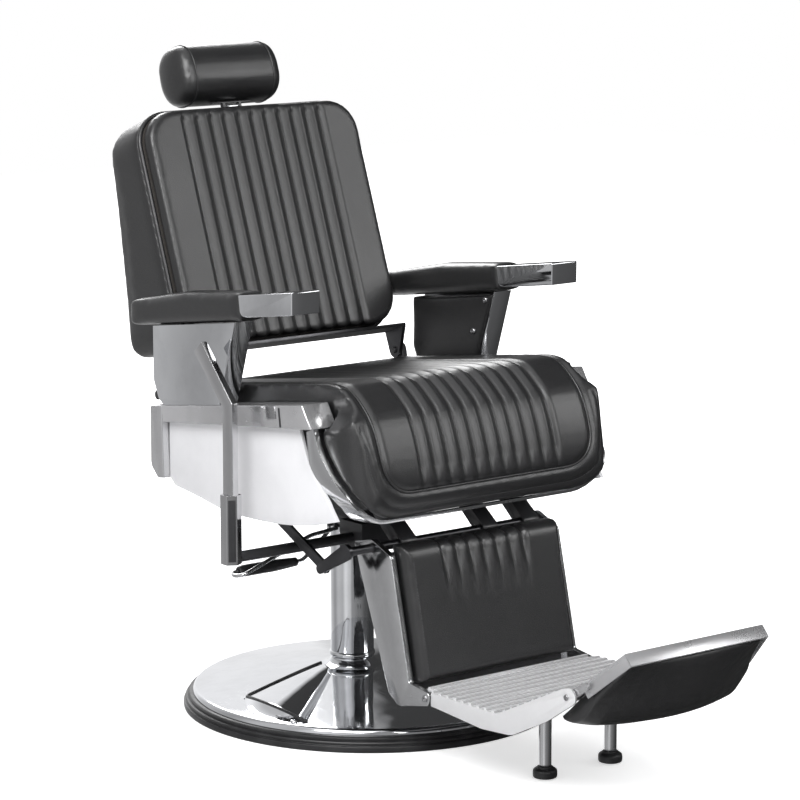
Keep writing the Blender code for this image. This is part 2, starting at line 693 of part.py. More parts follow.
def build_seat_front(seat):
    """One band runs down the left side, under the cushion and up the right side."""
    line = smooth_line(BAND_LINE)
    rear = beside(line, BAND_DEPTH)
    near, far = BAND_LINE[-2][0] - 0.05, TRAY_FRONT
    band = extruded("front_band", "chrome", seat, line + rear[::-1], (-PANEL_OUTER - 0.01, PANEL_OUTER + 0.01))
    bm = bmesh.new()
    prism(bm, front_view(PANEL_OUTER, CUSHION_LOW - CLEAR - BAND_SHEET, BAND_CORNER), near, far, "Y")
    combine(band, cutter("band_outside", seat, bm), "INTERSECT")
    bm = bmesh.new()
    corner = BAND_CORNER - (PANEL_OUTER - BAND_INNER) / 2
    prism(bm, front_view(BAND_INNER, CUSHION_LOW - CLEAR, corner), near - 0.01, far + 0.01, "Y")
    combine(band, cutter("band_inside", seat, bm))
    floor = BOARD_LOW + BOARD_SHEET + CLEAR
    seam = beside(line, -2 * CLEAR)
    outline = [(CUSHION_REAR, floor), (CUSHION_REAR, CUSHION_TOP)] + smooth_line(ROLL_LINE) + seam[::-1]
    outline += [(seam[0][0], floor)]
    cushion = extruded("seat_cushion", "leather", seat, outline, (-KNEE_HALF, KNEE_HALF))
    rear, front = CUSHION_REAR + 0.02, min(spot[0] for spot in ROLL_LINE) - CLEAR
    high, low = KNEE_SLOPE
    shape = [(CUSHION_HALF, CUSHION_TOP + 0.02, 0), (CUSHION_HALF, high, 0.02), (KNEE_HALF, low, 0.02),
             (KNEE_HALF, CUSHION_LOW, corner - CLEAR)]
    mirrored = [(-x, z, radius) for x, z, radius in reversed(shape)]
    bm = bmesh.new()
    prism(bm, rounded(shape + mirrored, 8), near - 0.05, rear, "Y")
    combine(cushion, cutter("cushion_outside", seat, bm), "INTERSECT")
    plan = [(-KNEE_HALF - 0.001, rear, 0), (-KNEE_HALF, front, KNEE_CORNER), (KNEE_HALF, front, KNEE_CORNER),
            (KNEE_HALF + 0.001, rear, 0)]
    bm = bmesh.new()
    prism(bm, rounded(plan, 8), CUSHION_LOW - 0.02, CUSHION_TOP + 0.02, "Z")
    combine(cushion, cutter("cushion_plan", seat, bm), "INTERSECT")
    for side in (-1, 1):
        bm = bmesh.new()
        prism(bm, rectangle((NOSE_LOW_FRONT - 4 * CLEAR, rear), (NOSE_LOW - 2 * CLEAR, CUSHION_TOP + 0.02)),
              *sided(side, CUSHION_HALF, RAIL_OUTER))
        combine(cushion, cutter("rail_room", seat, bm))
    soften(cushion, 0.010, 2)


def build_arm(seat, side, label):
    core = [(ARM_REAR, ARM_HEAD, 0), (ARM_BULGE, 0.187, 0.02), (ARM_REAR + 0.003, 0.153, 0.01),
            (ARM_REAR - 0.0115, ARM_FOOT, 0), (ARM_FRONT_FOOT, ARM_FOOT, 0), (ARM_FRONT_HEAD, ARM_HEAD, 0)]
    shape = rounded(core)
    extruded(f"arm_core_{label}", "leather", seat, shape, sided(side, ARM_INNER, ARM_OUTER - SHEET - CLEAR))
    plate = extruded(f"arm_plate_{label}", "chrome", seat, shape, sided(side, ARM_OUTER - SHEET, ARM_OUTER))
    lean = Vector((ARM_FRONT_FOOT - ARM_FRONT_HEAD, ARM_HEAD - ARM_FOOT))
    run = SHEET * lean.length / lean.y
    gap = CLEAR * lean.length / lean.y
    strip = [(ARM_FRONT_FOOT - gap, ARM_FOOT), (ARM_FRONT_HEAD - gap, ARM_HEAD),
             (ARM_FRONT_HEAD - gap - run, ARM_HEAD), (ARM_FRONT_FOOT - gap - run, ARM_FOOT)]
    weld(plate, strip, sided(side, ARM_INNER, ARM_OUTER - 0.0001))
    tie = [(ARM_FRONT_FOOT + 0.002, ARM_FOOT), (ARM_FRONT_HEAD + 0.002, ARM_HEAD),
           (ARM_FRONT_HEAD - gap - 0.5 * run, ARM_HEAD), (ARM_FRONT_FOOT - gap - 0.5 * run, ARM_FOOT)]
    weld(plate, tie, sided(side, ARM_OUTER - SHEET, ARM_OUTER - 0.0002))
    low = ARM_HEAD + CLEAR
    pad = rounded([(PAD_REAR + 0.006, low, 0.012), (PAD_REAR, low + PAD_THICKNESS - 0.006, 0.014),
                   (0.033, low + PAD_THICKNESS + 0.004, 0.15), (CAP_REAR + CLEAR, low + PAD_THICKNESS - 0.002, 0.006),
                   (CAP_REAR + CLEAR, low, 0)])
    extruded(f"arm_pad_{label}", "leather", seat, pad, sided(side, PAD_INNER, PAD_OUTER), edge=0.006)
    cap_low = ARM_HEAD + CAP_RAISE
    cap = rounded([(CAP_REAR, cap_low + 0.003, 0.012), (CAP_REAR, cap_low + CAP_THICKNESS, 0),
                   (CAP_FRONT - 0.003, cap_low + CAP_THICKNESS, 0.002), (CAP_FRONT + 0.003, cap_low, 0.002),
                   (CAP_REAR - 0.020, cap_low, 0.010)])
    extruded(f"arm_cap_{label}", "chrome", seat, cap, sided(side, PAD_INNER, PAD_OUTER))


# ================================================================ back and headrest
def build_back(back):
    crank = crank_end(CRANK_LENGTH, CRANK_TURN + BACK_RAKE)
    seat_line = BACK_LOW - CLEAR - 0.006
    arm = around([(0, 0, 0.015), (-0.040, seat_line - 0.001, 0.001), (0.015, seat_line - 0.001, 0.001)])
    strip = rectangle((BACK_FRONT + 0.008, 0.017), (seat_line, BACK_LOW - CLEAR))
    half = HINGE_X + STEEL
    frame = extruded("back_hinge_frame", "steel", back, strip, (-half, half))
    for side in (-1, 1):
        weld(frame, arm[:-1] + [arm[-1]], sided(side, HINGE_X, half - 0.0001))
        weld(frame, rectangle((-0.038, 0.013), (seat_line - 0.004, seat_line + 0.002)),
             sided(side, HINGE_X + 0.0002, half - 0.0003))
    weld(frame, around([(0, 0, 0.014), (crank[0], crank[1], 0.009)]), (-half + 0.0002, -HINGE_X - 0.0001))
    weld_bar(frame, LINK_PIN, (-HINGE_X - 0.002, -HINGE_X + 0.0115), (0, crank[0], crank[1]))
    drill(frame, PIN_RADIUS + PIN_FIT, 0, 0, (-half - 0.01, half + 0.01))
    pad = extruded("backrest_pad", "leather", back, rounded_box(BACK_HALF, BACK_LOW, BACK_HIGH, BACK_CORNER),
                   (BACK_FRONT, BACK_FRONT + BACK_PAD), "Y", edge=0.010)
    pad.modifiers["edges"].angle_limit = math.radians(60)
    front = BACK_FRONT + BACK_PAD + CLEAR
    inset = 0.006
    extruded("backrest_board", "plywood", back,
             rounded_box(BACK_HALF - inset, BACK_LOW + inset, BACK_HIGH - inset, BACK_CORNER - inset),
             (front, front + BOARD_THICK), "Y")
    build_back_cover(back, front + BOARD_THICK + CLEAR)


def wedge(start, wall):
    """Side outline of the rear cover, inset by a wall."""
    return rounded([(start, BACK_LOW - 0.015 + wall, 0), (0.020, BACK_LOW - 0.005 + wall, 0),
                    (COVER_LOW_REAR + 0.004 - wall, COVER_LOW_HIGH - 0.020 + wall, 0.018),
                    (COVER_TOP_REAR - 0.006 - wall, COVER_TOP_HIGH + 0.032 - wall, 0.026),
                    (start, BACK_HIGH + 0.020 - wall, 0)])


def build_back_cover(back, front):
    deep = COVER_LOW_REAR + 0.02
    cover = extruded("backrest_cover", "leather", back, rounded_box(BACK_HALF, BACK_LOW, BACK_HIGH, BACK_CORNER),
                     (front, deep), "Y")
    bm = bmesh.new()
    prism(bm, wedge(front - 0.02, 0), -BACK_HALF - 0.02, BACK_HALF + 0.02)
    combine(cover, cutter("cover_outside", back, bm), "INTERSECT")
    bm = bmesh.new()
    wall = COVER_WALL
    prism(bm, rounded_box(BACK_HALF - wall, BACK_LOW + wall, BACK_HIGH - wall, BACK_CORNER - wall),
          front - 0.01, deep, "Y")
    hollow = cutter("cover_hollow", back, bm)
    bm = bmesh.new()
    prism(bm, wedge(front - 0.015, wall), -BACK_HALF, BACK_HALF)
    combine(hollow, cutter("cover_hollow_side", back, bm), "INTERSECT")
    combine(cover, hollow)
    slot = BAR_HALF + 0.002
    bm = bmesh.new()
    prism(bm, rectangle((BAR_DEPTH - 0.005, BAR_DEPTH + 0.005), (BACK_HIGH - 0.02, BACK_HIGH + 0.02)), -slot, slot)
    combine(cover, cutter("cover_slot", back, bm))
    guide_half = BAR_HALF + 0.006
    guide = extruded("headrest_guide", "steel", back,
                     rectangle((-guide_half, guide_half), (front + CLEAR / 2, BAR_DEPTH + 0.010)),
                     (BACK_HIGH - 0.100, BACK_HIGH - 0.030), "Z")
    bm = bmesh.new()
    free = BAR_SHEET / 2 + 0.0005
    prism(bm, rectangle((BAR_DEPTH - free, BAR_DEPTH + free), (BACK_HIGH - 0.2, BACK_HIGH)),
          -BAR_HALF - 0.0005, BAR_HALF + 0.0005)
    combine(guide, cutter("guide_bore", back, bm))


def build_headrest(slide, head):
    """The bar slides in the back; the bracket and cushion tilt on the bar's eye."""
    reach = BACK_HIGH + HEADREST_FLOOR
    bar = extruded("headrest_bar", "chrome", slide,
                   rectangle((BAR_DEPTH - BAR_SHEET / 2, BAR_DEPTH + BAR_SHEET / 2),
                             (reach + 0.0045 - BAR_LENGTH, reach)), (-BAR_HALF, BAR_HALF))
    weld(bar, around([(BAR_DEPTH, reach, 0.0045), (BAR_DEPTH, reach - 0.002, 0.003)]),
         (-BAR_HALF + 0.0001, BAR_HALF - 0.0001))
    drill(bar, 0.0034, BAR_DEPTH, reach, (-0.03, 0.03))
    ear, plate = 0.0055, 0.0065
    channel = [(-0.045, plate), (-0.045, plate + 0.002), (0.045, plate + 0.002), (0.045, plate),
               (BAR_HALF + ear, plate), (BAR_HALF + ear, -0.0045), (BAR_HALF + CLEAR, -0.0045),
               (BAR_HALF + CLEAR, plate), (-BAR_HALF - CLEAR, plate), (-BAR_HALF - CLEAR, -0.0045),
               (-BAR_HALF - ear, -0.0045), (-BAR_HALF - ear, plate)]
    bracket = extruded("headrest_bracket", "steel", head, channel, (-0.0045, 0.0045), "Y")
    weld_bar(bracket, 0.003, (-BAR_HALF - 0.003, BAR_HALF + 0.003), (0, 0, 0))
    floor = plate + 0.002 + CLEAR
    middle = floor + HEADREST_TALL / 2
    outline = []
    for k in range(28):
        turn = 2 * math.pi * (k + 0.5) / 28
        round_y = math.copysign(abs(math.cos(turn)) ** 0.8, math.cos(turn))
        round_z = math.copysign(abs(math.sin(turn)) ** 0.8, math.sin(turn))
        outline.append((HEADREST_DEPTH / 2 * round_y + HEADREST_SETBACK, middle + HEADREST_TALL / 2 * round_z))
    cushion = extruded("headrest_cushion", "leather", head, outline, (-HEADREST_HALF, HEADREST_HALF), edge=0.016, segments=3)
    cushion.modifiers["edges"].angle_limit = math.radians(60)


# ================================================================ link, legrest and footrest
def build_link(link):
    """Flat bar whose pins keep the same distance as the recline and legrest pivots."""
    pivot = seat_to_floor(PIVOT_REAR, PIVOT_HIGH)
    leg = seat_to_floor(LEG_PIVOT_Y, LEG_PIVOT_Z)
    front = (leg[0] - pivot[0], leg[1] - pivot[1])
    low = -HINGE_X + CLEAR + 0.003
    radius = LINK_WIDTH / 2
    bar = extruded("recline_link", "steel", link, around([(0, 0, radius), (front[0], front[1], radius)]),
                   (low, low + LINK_SHEET))
    for spot in ((0, 0), front):
        drill(bar, LINK_PIN + PIN_FIT, spot[0], spot[1], (low - 0.01, low + 0.02))


def build_legrest(leg, seat):
    back_face = LEG_PAD_FRONT + LEG_PAD_THICK
    half, corner = LEG_PAD_HALF, LEG_PAD_CORNER
    plan = rounded([(-half, back_face, 0), (-half, LEG_PAD_FRONT, corner), (half, LEG_PAD_FRONT, corner),
                    (half, back_face, 0)], 6)
    pad = extruded("legrest_pad", "leather", leg, plan, (LEG_PAD_LOW, LEG_PAD_HIGH), "Z")
    bm = bmesh.new()
    side = rounded([(back_face, LEG_PAD_LOW, 0), (back_face, LEG_PAD_HIGH, 0), (LEG_PAD_FRONT, LEG_PAD_HIGH, LEG_PAD_ROLL),
                    (LEG_PAD_FRONT, LEG_PAD_LOW, 0.012)], 6)
    prism(bm, side, -half - 0.01, half + 0.01)
    combine(pad, cutter("pad_side", leg, bm), "INTERSECT")
    board = LEG_BAR_INNER - CLEAR
    box("legrest_board", "black_steel", leg, (-board, board), (back_face + CLEAR, back_face + STEEL),
        (LEG_PAD_LOW + 0.014, LEG_PAD_HIGH - 0.018))
    outline = rounded([(0.050, 0.0155, 0.004), (-0.0005, 0.0155, 0.015), (-0.048, -0.018, 0.010),
                       (-0.0488, FOOT_Z + 0.028, 0.006), (FOOT_Y - 0.0125, FOOT_Z + 0.006, 0.010),
                       (FOOT_Y + 0.0005, FOOT_Z - 0.0135, 0.008), (-0.010, FOOT_Z - 0.0122, 0.015),
                       (0.0125, FOOT_Z + 0.012, 0.010), (0.044, -0.040, 0.030)])
    outer = LEG_BAR_INNER + LEG_BAR_SHEET
    for side, label in ((-1, "right"), (1, "left")):
        bar = extruded(f"legrest_bar_{label}", "chrome", leg, outline, sided(side, LEG_BAR_INNER, outer))
        drill(bar, SHAFT_RADIUS + PIN_FIT, 0, 0, sided(side, LEG_BAR_INNER - 0.01, outer + 0.01))
    crank = crank_end(CRANK_LENGTH, CRANK_TURN + LEG_RAKE)
    end = HINGE_X + STEEL
    shaft = round_bar("legrest_shaft", "steel", leg, SHAFT_RADIUS, (-end + 0.001, outer + 0.004), (0, 0, 0))
    weld(shaft, around([(0, 0, 0.014), (crank[0], crank[1], 0.009)]), (-end, -HINGE_X))
    weld_bar(shaft, LINK_PIN, (-HINGE_X - 0.002, -HINGE_X + 0.0115), (0, crank[0], crank[1]))
    top = TRAY_LOW - CLEAR
    stem = around([(LEG_PIVOT_Y, LEG_PIVOT_Z, 0.013), (LEG_PIVOT_Y + HANGER_RUN, top - 0.001, 0.001),
                   (LEG_PIVOT_Y + HANGER_RUN + 0.026, top - 0.001, 0.001)])
    for label, low, high in (("left", 0.146, 0.182), ("middle", 0.050, 0.084), ("right", -0.140, -0.104)):
        hanger = extruded(f"legrest_hanger_{label}", "black_steel", seat, stem, (low, high))
        drill(hanger, SHAFT_RADIUS + PIN_FIT, LEG_PIVOT_Y, LEG_PIVOT_Z, (low - 0.01, high + 0.01))


def ribbed(start, angle, length, count):
    """Top side of a ribbed plate that runs forward from start and rises at the angle."""
    forward = Vector((-math.cos(angle), math.sin(angle)))
    up = Vector((math.sin(angle), math.cos(angle)))
    points = [Vector(start)]
    for k in range(count):
        near = Vector(start) + forward * (0.004 + k * RIB_PITCH)
        points += [near, near + up * RIB_RISE + forward * 0.001,
                   near + up * RIB_RISE + forward * (RIB_WIDTH - 0.001), near + forward * RIB_WIDTH]
    points.append(Vector(start) + forward * length)
    under = points[-1] - up * TREAD_THICK
    return [tuple(p) for p in points], tuple(under)


def build_footrest(tread):
    inner = CHEEK_OUTER - CHEEK_SHEET
    level = TREAD_REAR - TREAD_BEND
    top, _ = ribbed((TREAD_REAR, TREAD_TOP), 0, level, int(level / RIB_PITCH))
    low = TREAD_TOP - TREAD_THICK
    plate = extruded("footrest_tread", "aluminium", tread,
                     top + [(TREAD_BEND, low), (TREAD_REAR, low)], (-inner - 0.001, inner + 0.001))
    ramp, under = ribbed((TREAD_BEND + 0.001, TREAD_TOP), RAMP_RISE, RAMP_LENGTH, int(RAMP_LENGTH / RIB_PITCH))
    half = KICK_HALF_NEAR - 0.0015
    weld(plate, ramp + [under, (TREAD_BEND + 0.0035, low + 0.0001)], (-half, half))
    cheek = rounded([(TREAD_REAR - 0.002, TREAD_TOP + 0.0005, 0.004), (TREAD_BEND, TREAD_TOP + 0.0005, 0.020),
                     (KICK_Y + 0.010, KICK_Z + 0.013, 0.004), (KICK_Y - 0.012, KICK_Z + 0.018, 0.012),
                     (KICK_Y - 0.029, KICK_Z - 0.001, 0.012), (-0.314, 0.027, 0.050), (-0.225, -0.0165, 0.060),
                     (-0.147, -0.0215, 0.060), (-0.030, -0.012, 0.020), (TREAD_REAR - 0.004, -0.010, 0.005)])
    for side in (-1, 1):
        weld(plate, cheek, sided(side, inner, CHEEK_OUTER))
        drill(plate, KICK_PIN + PIN_FIT, KICK_Y, KICK_Z, sided(side, inner - 0.003, CHEEK_OUTER + 0.01))
        bm = bmesh.new()
        notch = rectangle((NOTCH_FRONT, TREAD_REAR + 0.01), (-0.03, TREAD_TOP + 0.02))
        prism(bm, notch, *sided(side, LEG_BAR_INNER - CLEAR, CHEEK_OUTER + 0.01))
        combine(plate, cutter(f"bar_notch_{side}", tread, bm))
    end = CHEEK_OUTER + 0.002
    round_bar("kick_shaft", "steel", tread, KICK_PIN, (-end, end), (0, KICK_Y, KICK_Z))
    floor = -tread_origin_height()
    pad_high = floor + FOOT_AIR + FOOT_HEIGHT
    for side, label in ((-1, "right"), (1, "left")):
        spot = (side * STEM_X, STEM_Y, 0)
        turned(f"foot_stem_{label}", "chrome", tread,
               rod_profile(STEM_RADIUS, pad_high + CLEAR, low - CLEAR), SMALL_STEPS, spot)
        turned(f"foot_pad_{label}", "rubber", tread,
               [(0, floor + FOOT_AIR), (FOOT_RADIUS - 0.004, floor + FOOT_AIR), (FOOT_RADIUS, floor + FOOT_AIR + 0.004),
                (FOOT_RADIUS, pad_high - 0.005), (FOOT_RADIUS - 0.005, pad_high), (0, pad_high)], 28, spot)


def build_kick_plate(kick):
    plate = extruded("kick_plate", "aluminium", kick,
                     [(-KICK_HALF_FAR, KICK_FAR), (KICK_HALF_FAR, KICK_FAR),
                      (KICK_HALF_NEAR, KICK_NEAR), (-KICK_HALF_NEAR, KICK_NEAR)], (-KICK_PLATE, 0), "Z")
    lip = rectangle((KICK_FAR - 0.004, KICK_FAR + 0.001), (-KICK_LIP, -0.0001))
    weld(plate, lip, (-KICK_HALF_FAR + 0.0002, KICK_HALF_FAR - 0.0002))
    for side in (-1, 1):
        cheek = [(side * (KICK_HALF_NEAR - 0.0001), KICK_NEAR - 0.0002), (side * (KICK_HALF_FAR - 0.0001), KICK_FAR),
                 (side * (KICK_HALF_FAR - KICK_CHEEK), KICK_FAR),
                 (side * (KICK_HALF_NEAR - KICK_CHEEK), KICK_NEAR - 0.0002)]
        weld(plate, cheek, (-KICK_LIP, -0.0002), "Z")
    lug = around([(0, 0, 0.010), (KICK_NEAR - 0.014, -0.008, 0.006)])
    for side in (-1, 1):
        weld(plate, lug, sided(side, KICK_HALF_NEAR + 0.001, KICK_HALF_NEAR + 0.005))
        weld(plate, rectangle((KICK_NEAR - 0.012, KICK_NEAR - 0.001), (-KICK_PLATE + 0.0002, -0.0003)),
             sided(side, KICK_HALF_NEAR - 0.02, KICK_HALF_NEAR + 0.003))
    drill(plate, KICK_PIN + PIN_FIT, 0, 0, (-0.25, 0.25))
    build_kick_pad(kick)


def build_kick_pad(kick):
    """Upholstered belly that swells under the plate and runs back past the pin."""
    top = -KICK_PLATE - CLEAR
    columns = 12
    middle = smooth_line([(y, z) for y, z, _ in BELLY_LINE], 2)
    sides = smooth_line([(y, edge) for y, _, edge in BELLY_LINE], 2)
    bm = bmesh.new()
    upper, lower = [], []
    for (y, z), (_, edge) in zip(middle, sides):
        grow = max(0.0, (y - KICK_NEAR) / (KICK_FAR - KICK_NEAR))
        half = KICK_HALF_NEAR - KICK_CHEEK - CLEAR + (KICK_HALF_FAR - KICK_HALF_NEAR) * grow
        turn = max(0.0, min(1.0, (BELLY_LINE[2][0] - y) / (BELLY_LINE[2][0] - BELLY_LINE[4][0])))
        power = BELLY_SQUARE + (BELLY_ROUND - BELLY_SQUARE) * turn
        across = [half * (2 * j / columns - 1) for j in range(columns + 1)]
        depth = [edge + (z - edge) * max(0.0, 1 - (x / half) ** 2) ** power for x in across]
        upper.append([bm.verts.new((x, y, top)) for x in across])
        lower.append([bm.verts.new((x, y, low)) for x, low in zip(across, depth)])
    rows = len(middle) - 1
    for i in range(rows):
        for j in range(columns):
            bm.faces.new((upper[i][j], upper[i][j + 1], upper[i + 1][j + 1], upper[i + 1][j]))
            bm.faces.new((lower[i][j], lower[i + 1][j], lower[i + 1][j + 1], lower[i][j + 1]))
    for j in range(columns):
        bm.faces.new((upper[0][j], lower[0][j], lower[0][j + 1], upper[0][j + 1]))
        bm.faces.new((upper[rows][j], upper[rows][j + 1], lower[rows][j + 1], lower[rows][j]))
    for i in range(rows):
        bm.faces.new((upper[i][0], upper[i + 1][0], lower[i + 1][0], lower[i][0]))
        bm.faces.new((upper[i][columns], lower[i][columns], lower[i + 1][columns], upper[i + 1][columns]))
    add_piece("kick_pad", "leather", kick, bm)


# ================================================================ pump lever and release loop
def build_lever(lever):
    hexagon = arc((0, 0), SOCKET_RADIUS, math.pi / 6, math.pi / 6 + 5 * math.pi / 3, 5)
    socket = extruded("pump_lever", "chrome", lever, hexagon, (SOCKET_LOW, SOCKET_HIGH), "Z")
    spine = [(0, SOCKET_HIGH - 0.002), (0, LEVER_ELBOW),
             (HANDLE_RUN, LEVER_ELBOW + HANDLE_RUN / math.tan(HANDLE_TURN))]
    outline = beside(spine, LEVER_WIDTH / 2) + beside(spine, -LEVER_WIDTH / 2)[::-1]
    weld(socket, outline, (-LEVER_SHEET / 2, LEVER_SHEET / 2))
    near = SOCKET_RADIUS * math.cos(math.pi / 6) + CLEAR
    round_bar("lever_shaft", "black_steel", lever, LEVER_SHAFT_RADIUS, (near, PUMP_NEAR - CLEAR - LEVER_X), (0, 0, 0))


def rounded_path(points, reach, steps=3):
    """A 3-D path whose corners are rounded."""
    spots = [Vector(p) for p in points]
    path = [spots[0]]
    for before, here, after in zip(spots, spots[1:], spots[2:]):
        first = here + (before - here).normalized() * reach
        last = here + (after - here).normalized() * reach
        for k in range(steps + 1):
            t = k / steps
            path.append(first * (1 - t) ** 2 + here * 2 * t * (1 - t) + last * t * t)
    path.append(spots[-1])
    return path


def build_release(loop):
    """Wire loop with a rubber sleeve on its rear run, in a frame on its pivot."""
    rear, front, low = 0.022, -0.022, LOOP_GRIP_Z - LOOP_Z
    path = rounded_path([(0, front, 0), (0, rear, 0), (0.004, rear, -0.022), (-0.060, rear, low),
                         (-0.218, rear, low), (-0.232, 0, low), (-0.226, front, low + 0.004),
                         (-0.074, front, low + 0.057), (-0.012, front, low + 0.062)], 0.009)
    bent_rod("release_loop", "chrome", loop, path, LOOP_ROD)
    bore = LOOP_ROD + PIN_FIT
    turned("release_grip", "grip", loop,
           [(bore, -0.206), (0.009, -0.206), (0.011, -0.196), (0.011, -0.125), (0.008, -0.074), (bore, -0.074)],
           SMALL_STEPS, (0, rear, low), "X")


def build_chair():
    clear_scene()
    ground = axis_frame("ground", None, (0, 0, 0))
    lift = axis_frame("lift_axis", ground, (0, 0, 0))
    swivel = axis_frame("swivel_axis", lift, (0, 0, 0))
    seat = axis_frame("seat_frame", swivel, (0, 0, SEAT_HEIGHT), -SEAT_TILT)
    back = axis_frame("recline_axis", seat, (0, PIVOT_REAR, PIVOT_HIGH), SEAT_TILT - BACK_RAKE)
    slide = axis_frame("headrest_slide_axis", back, (0, 0, 0))
    head = axis_frame("headrest_tilt_axis", slide, (0, BAR_DEPTH, BACK_HIGH + HEADREST_FLOOR))
    leg = axis_frame("legrest_axis", seat, (0, LEG_PIVOT_Y, LEG_PIVOT_Z), SEAT_TILT - LEG_RAKE)
    crank = crank_end(CRANK_LENGTH, CRANK_TURN + BACK_RAKE)
    link = axis_frame("link_axis", back, (0, crank[0], crank[1]), BACK_RAKE)
    tread = axis_frame("footrest_frame", leg, (0, FOOT_Y, FOOT_Z), LEG_RAKE)
    kick = axis_frame("kick_axis", tread, (0, KICK_Y, KICK_Z), -KICK_RISE)
    lever = axis_frame("lever_axis", swivel, (LEVER_X, LEVER_Y, LEVER_Z))
    loop = axis_frame("release_axis", swivel, (LOOP_X, LOOP_Y, LOOP_Z))
    build_base(ground)
    build_lift(lift)
    build_column(swivel)
    build_seat_frame(seat)
    for side, label in ((-1, "right"), (1, "left")):
        build_seat_side(seat, side, label)
        build_arm(seat, side, label)
    build_seat_front(seat)
    build_back(back)
    build_headrest(slide, head)
    build_link(link)
    build_legrest(leg, seat)
    build_footrest(tread)
    build_kick_plate(kick)
    build_lever(lever)
    build_release(loop)


build_chair()
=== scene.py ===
"""Looks of the hydraulic barber chair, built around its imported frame."""

import json
import math

import bmesh
import bpy
from mathutils import Matrix, Vector
from mathutils.bvhtree import BVHTree


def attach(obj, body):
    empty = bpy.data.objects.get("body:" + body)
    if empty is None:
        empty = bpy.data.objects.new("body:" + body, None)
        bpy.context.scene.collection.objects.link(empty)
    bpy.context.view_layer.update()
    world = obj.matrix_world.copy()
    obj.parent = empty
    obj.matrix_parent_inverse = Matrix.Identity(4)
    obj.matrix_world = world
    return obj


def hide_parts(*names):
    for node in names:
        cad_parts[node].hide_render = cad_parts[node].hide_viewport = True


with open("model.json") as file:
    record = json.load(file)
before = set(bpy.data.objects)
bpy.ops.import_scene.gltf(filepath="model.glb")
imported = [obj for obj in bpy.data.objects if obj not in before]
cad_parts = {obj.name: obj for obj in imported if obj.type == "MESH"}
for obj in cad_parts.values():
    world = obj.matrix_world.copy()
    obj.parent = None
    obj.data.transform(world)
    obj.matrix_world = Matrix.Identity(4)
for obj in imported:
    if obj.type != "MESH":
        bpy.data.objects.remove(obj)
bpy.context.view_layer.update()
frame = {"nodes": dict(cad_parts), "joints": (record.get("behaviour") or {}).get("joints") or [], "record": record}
for cad_node in frame["nodes"].values():
    cad_node.select_set(False)


# ================================================================ studio
# A pale floor that runs into a pale room, soft lamps from the upper left, the front,
# the right and behind, and dark cards that give the plated parts something to mirror.
def feed(tree, socket, source):
    """Give an input its source: another node's output, a number, or a colour."""
    if isinstance(source, bpy.types.NodeSocket):
        tree.links.new(source, socket)
    elif socket.type == "RGBA":
        socket.default_value = (*source, 1)
    else:
        socket.default_value = source


def set_up(tree, node, **settings):
    """Set a shader node: each setting is one of its properties, or the source of an input."""
    for name, value in settings.items():
        if hasattr(node, name):
            setattr(node, name, value)
        else:
            feed(tree, node.inputs[name.replace("_", " ")], value)
    return node


def put(tree, kind, **settings):
    """Add a shader node and set it up."""
    return set_up(tree, tree.nodes.new(kind), **settings)


def own_spot(tree):
    """Where a point lies in its piece's own axes."""
    return put(tree, "ShaderNodeTexCoord").outputs["Object"]


def blend_colours(tree, factor, low, high):
    """Mix two colours by a factor; gives the mixed colour."""
    mixer = put(tree, "ShaderNodeMix", data_type="RGBA")
    for socket, source in ((mixer.inputs[0], factor), (mixer.inputs[6], low), (mixer.inputs[7], high)):
        feed(tree, socket, source)
    return mixer.outputs[2]


def blend_shaders(tree, factor, low, high):
    """Mix two shaders by a factor; gives the mixed shader."""
    mixer = put(tree, "ShaderNodeMixShader", Fac=factor)
    tree.links.new(low, mixer.inputs[1])
    tree.links.new(high, mixer.inputs[2])
    return mixer.outputs[0]


def rescaled(tree, value, given=(0.0, 1.0), wanted=(0.0, 1.0), curve="LINEAR"):
    """Bring a value from a given range into a wanted one."""
    ranger = put(tree, "ShaderNodeMapRange", Value=value, From_Min=given[0], From_Max=given[1],
                 To_Min=wanted[0], To_Max=wanted[1], interpolation_type=curve)
    return ranger.outputs["Result"]


def reckoned(tree, operation, *terms):
    """Work out a sum; each term is a value that varies or a plain number."""
    calculator = put(tree, "ShaderNodeMath", operation=operation)
    for socket, term in zip(calculator.inputs, terms):
        feed(tree, socket, term)
    return calculator.outputs[0]


# brightness of the cards by their place round the room, as a share of a full turn
card_end_tone = 0.50
card_tones = ((0.05, 0.80), (0.11, 0.62), (0.15, 0.30), (0.25, 0.20), (0.36, 0.09), (0.45, 0.05),
              (0.60, 0.045), (0.6425, 0.05), (0.6465, 0.92), (0.70, 1.05), (0.78, 0.55),
              (0.858, 0.36), (0.93, 0.55))
ceiling_edge = (0.84, 0.97)  # how steeply a mirrored ray climbs where the cards end


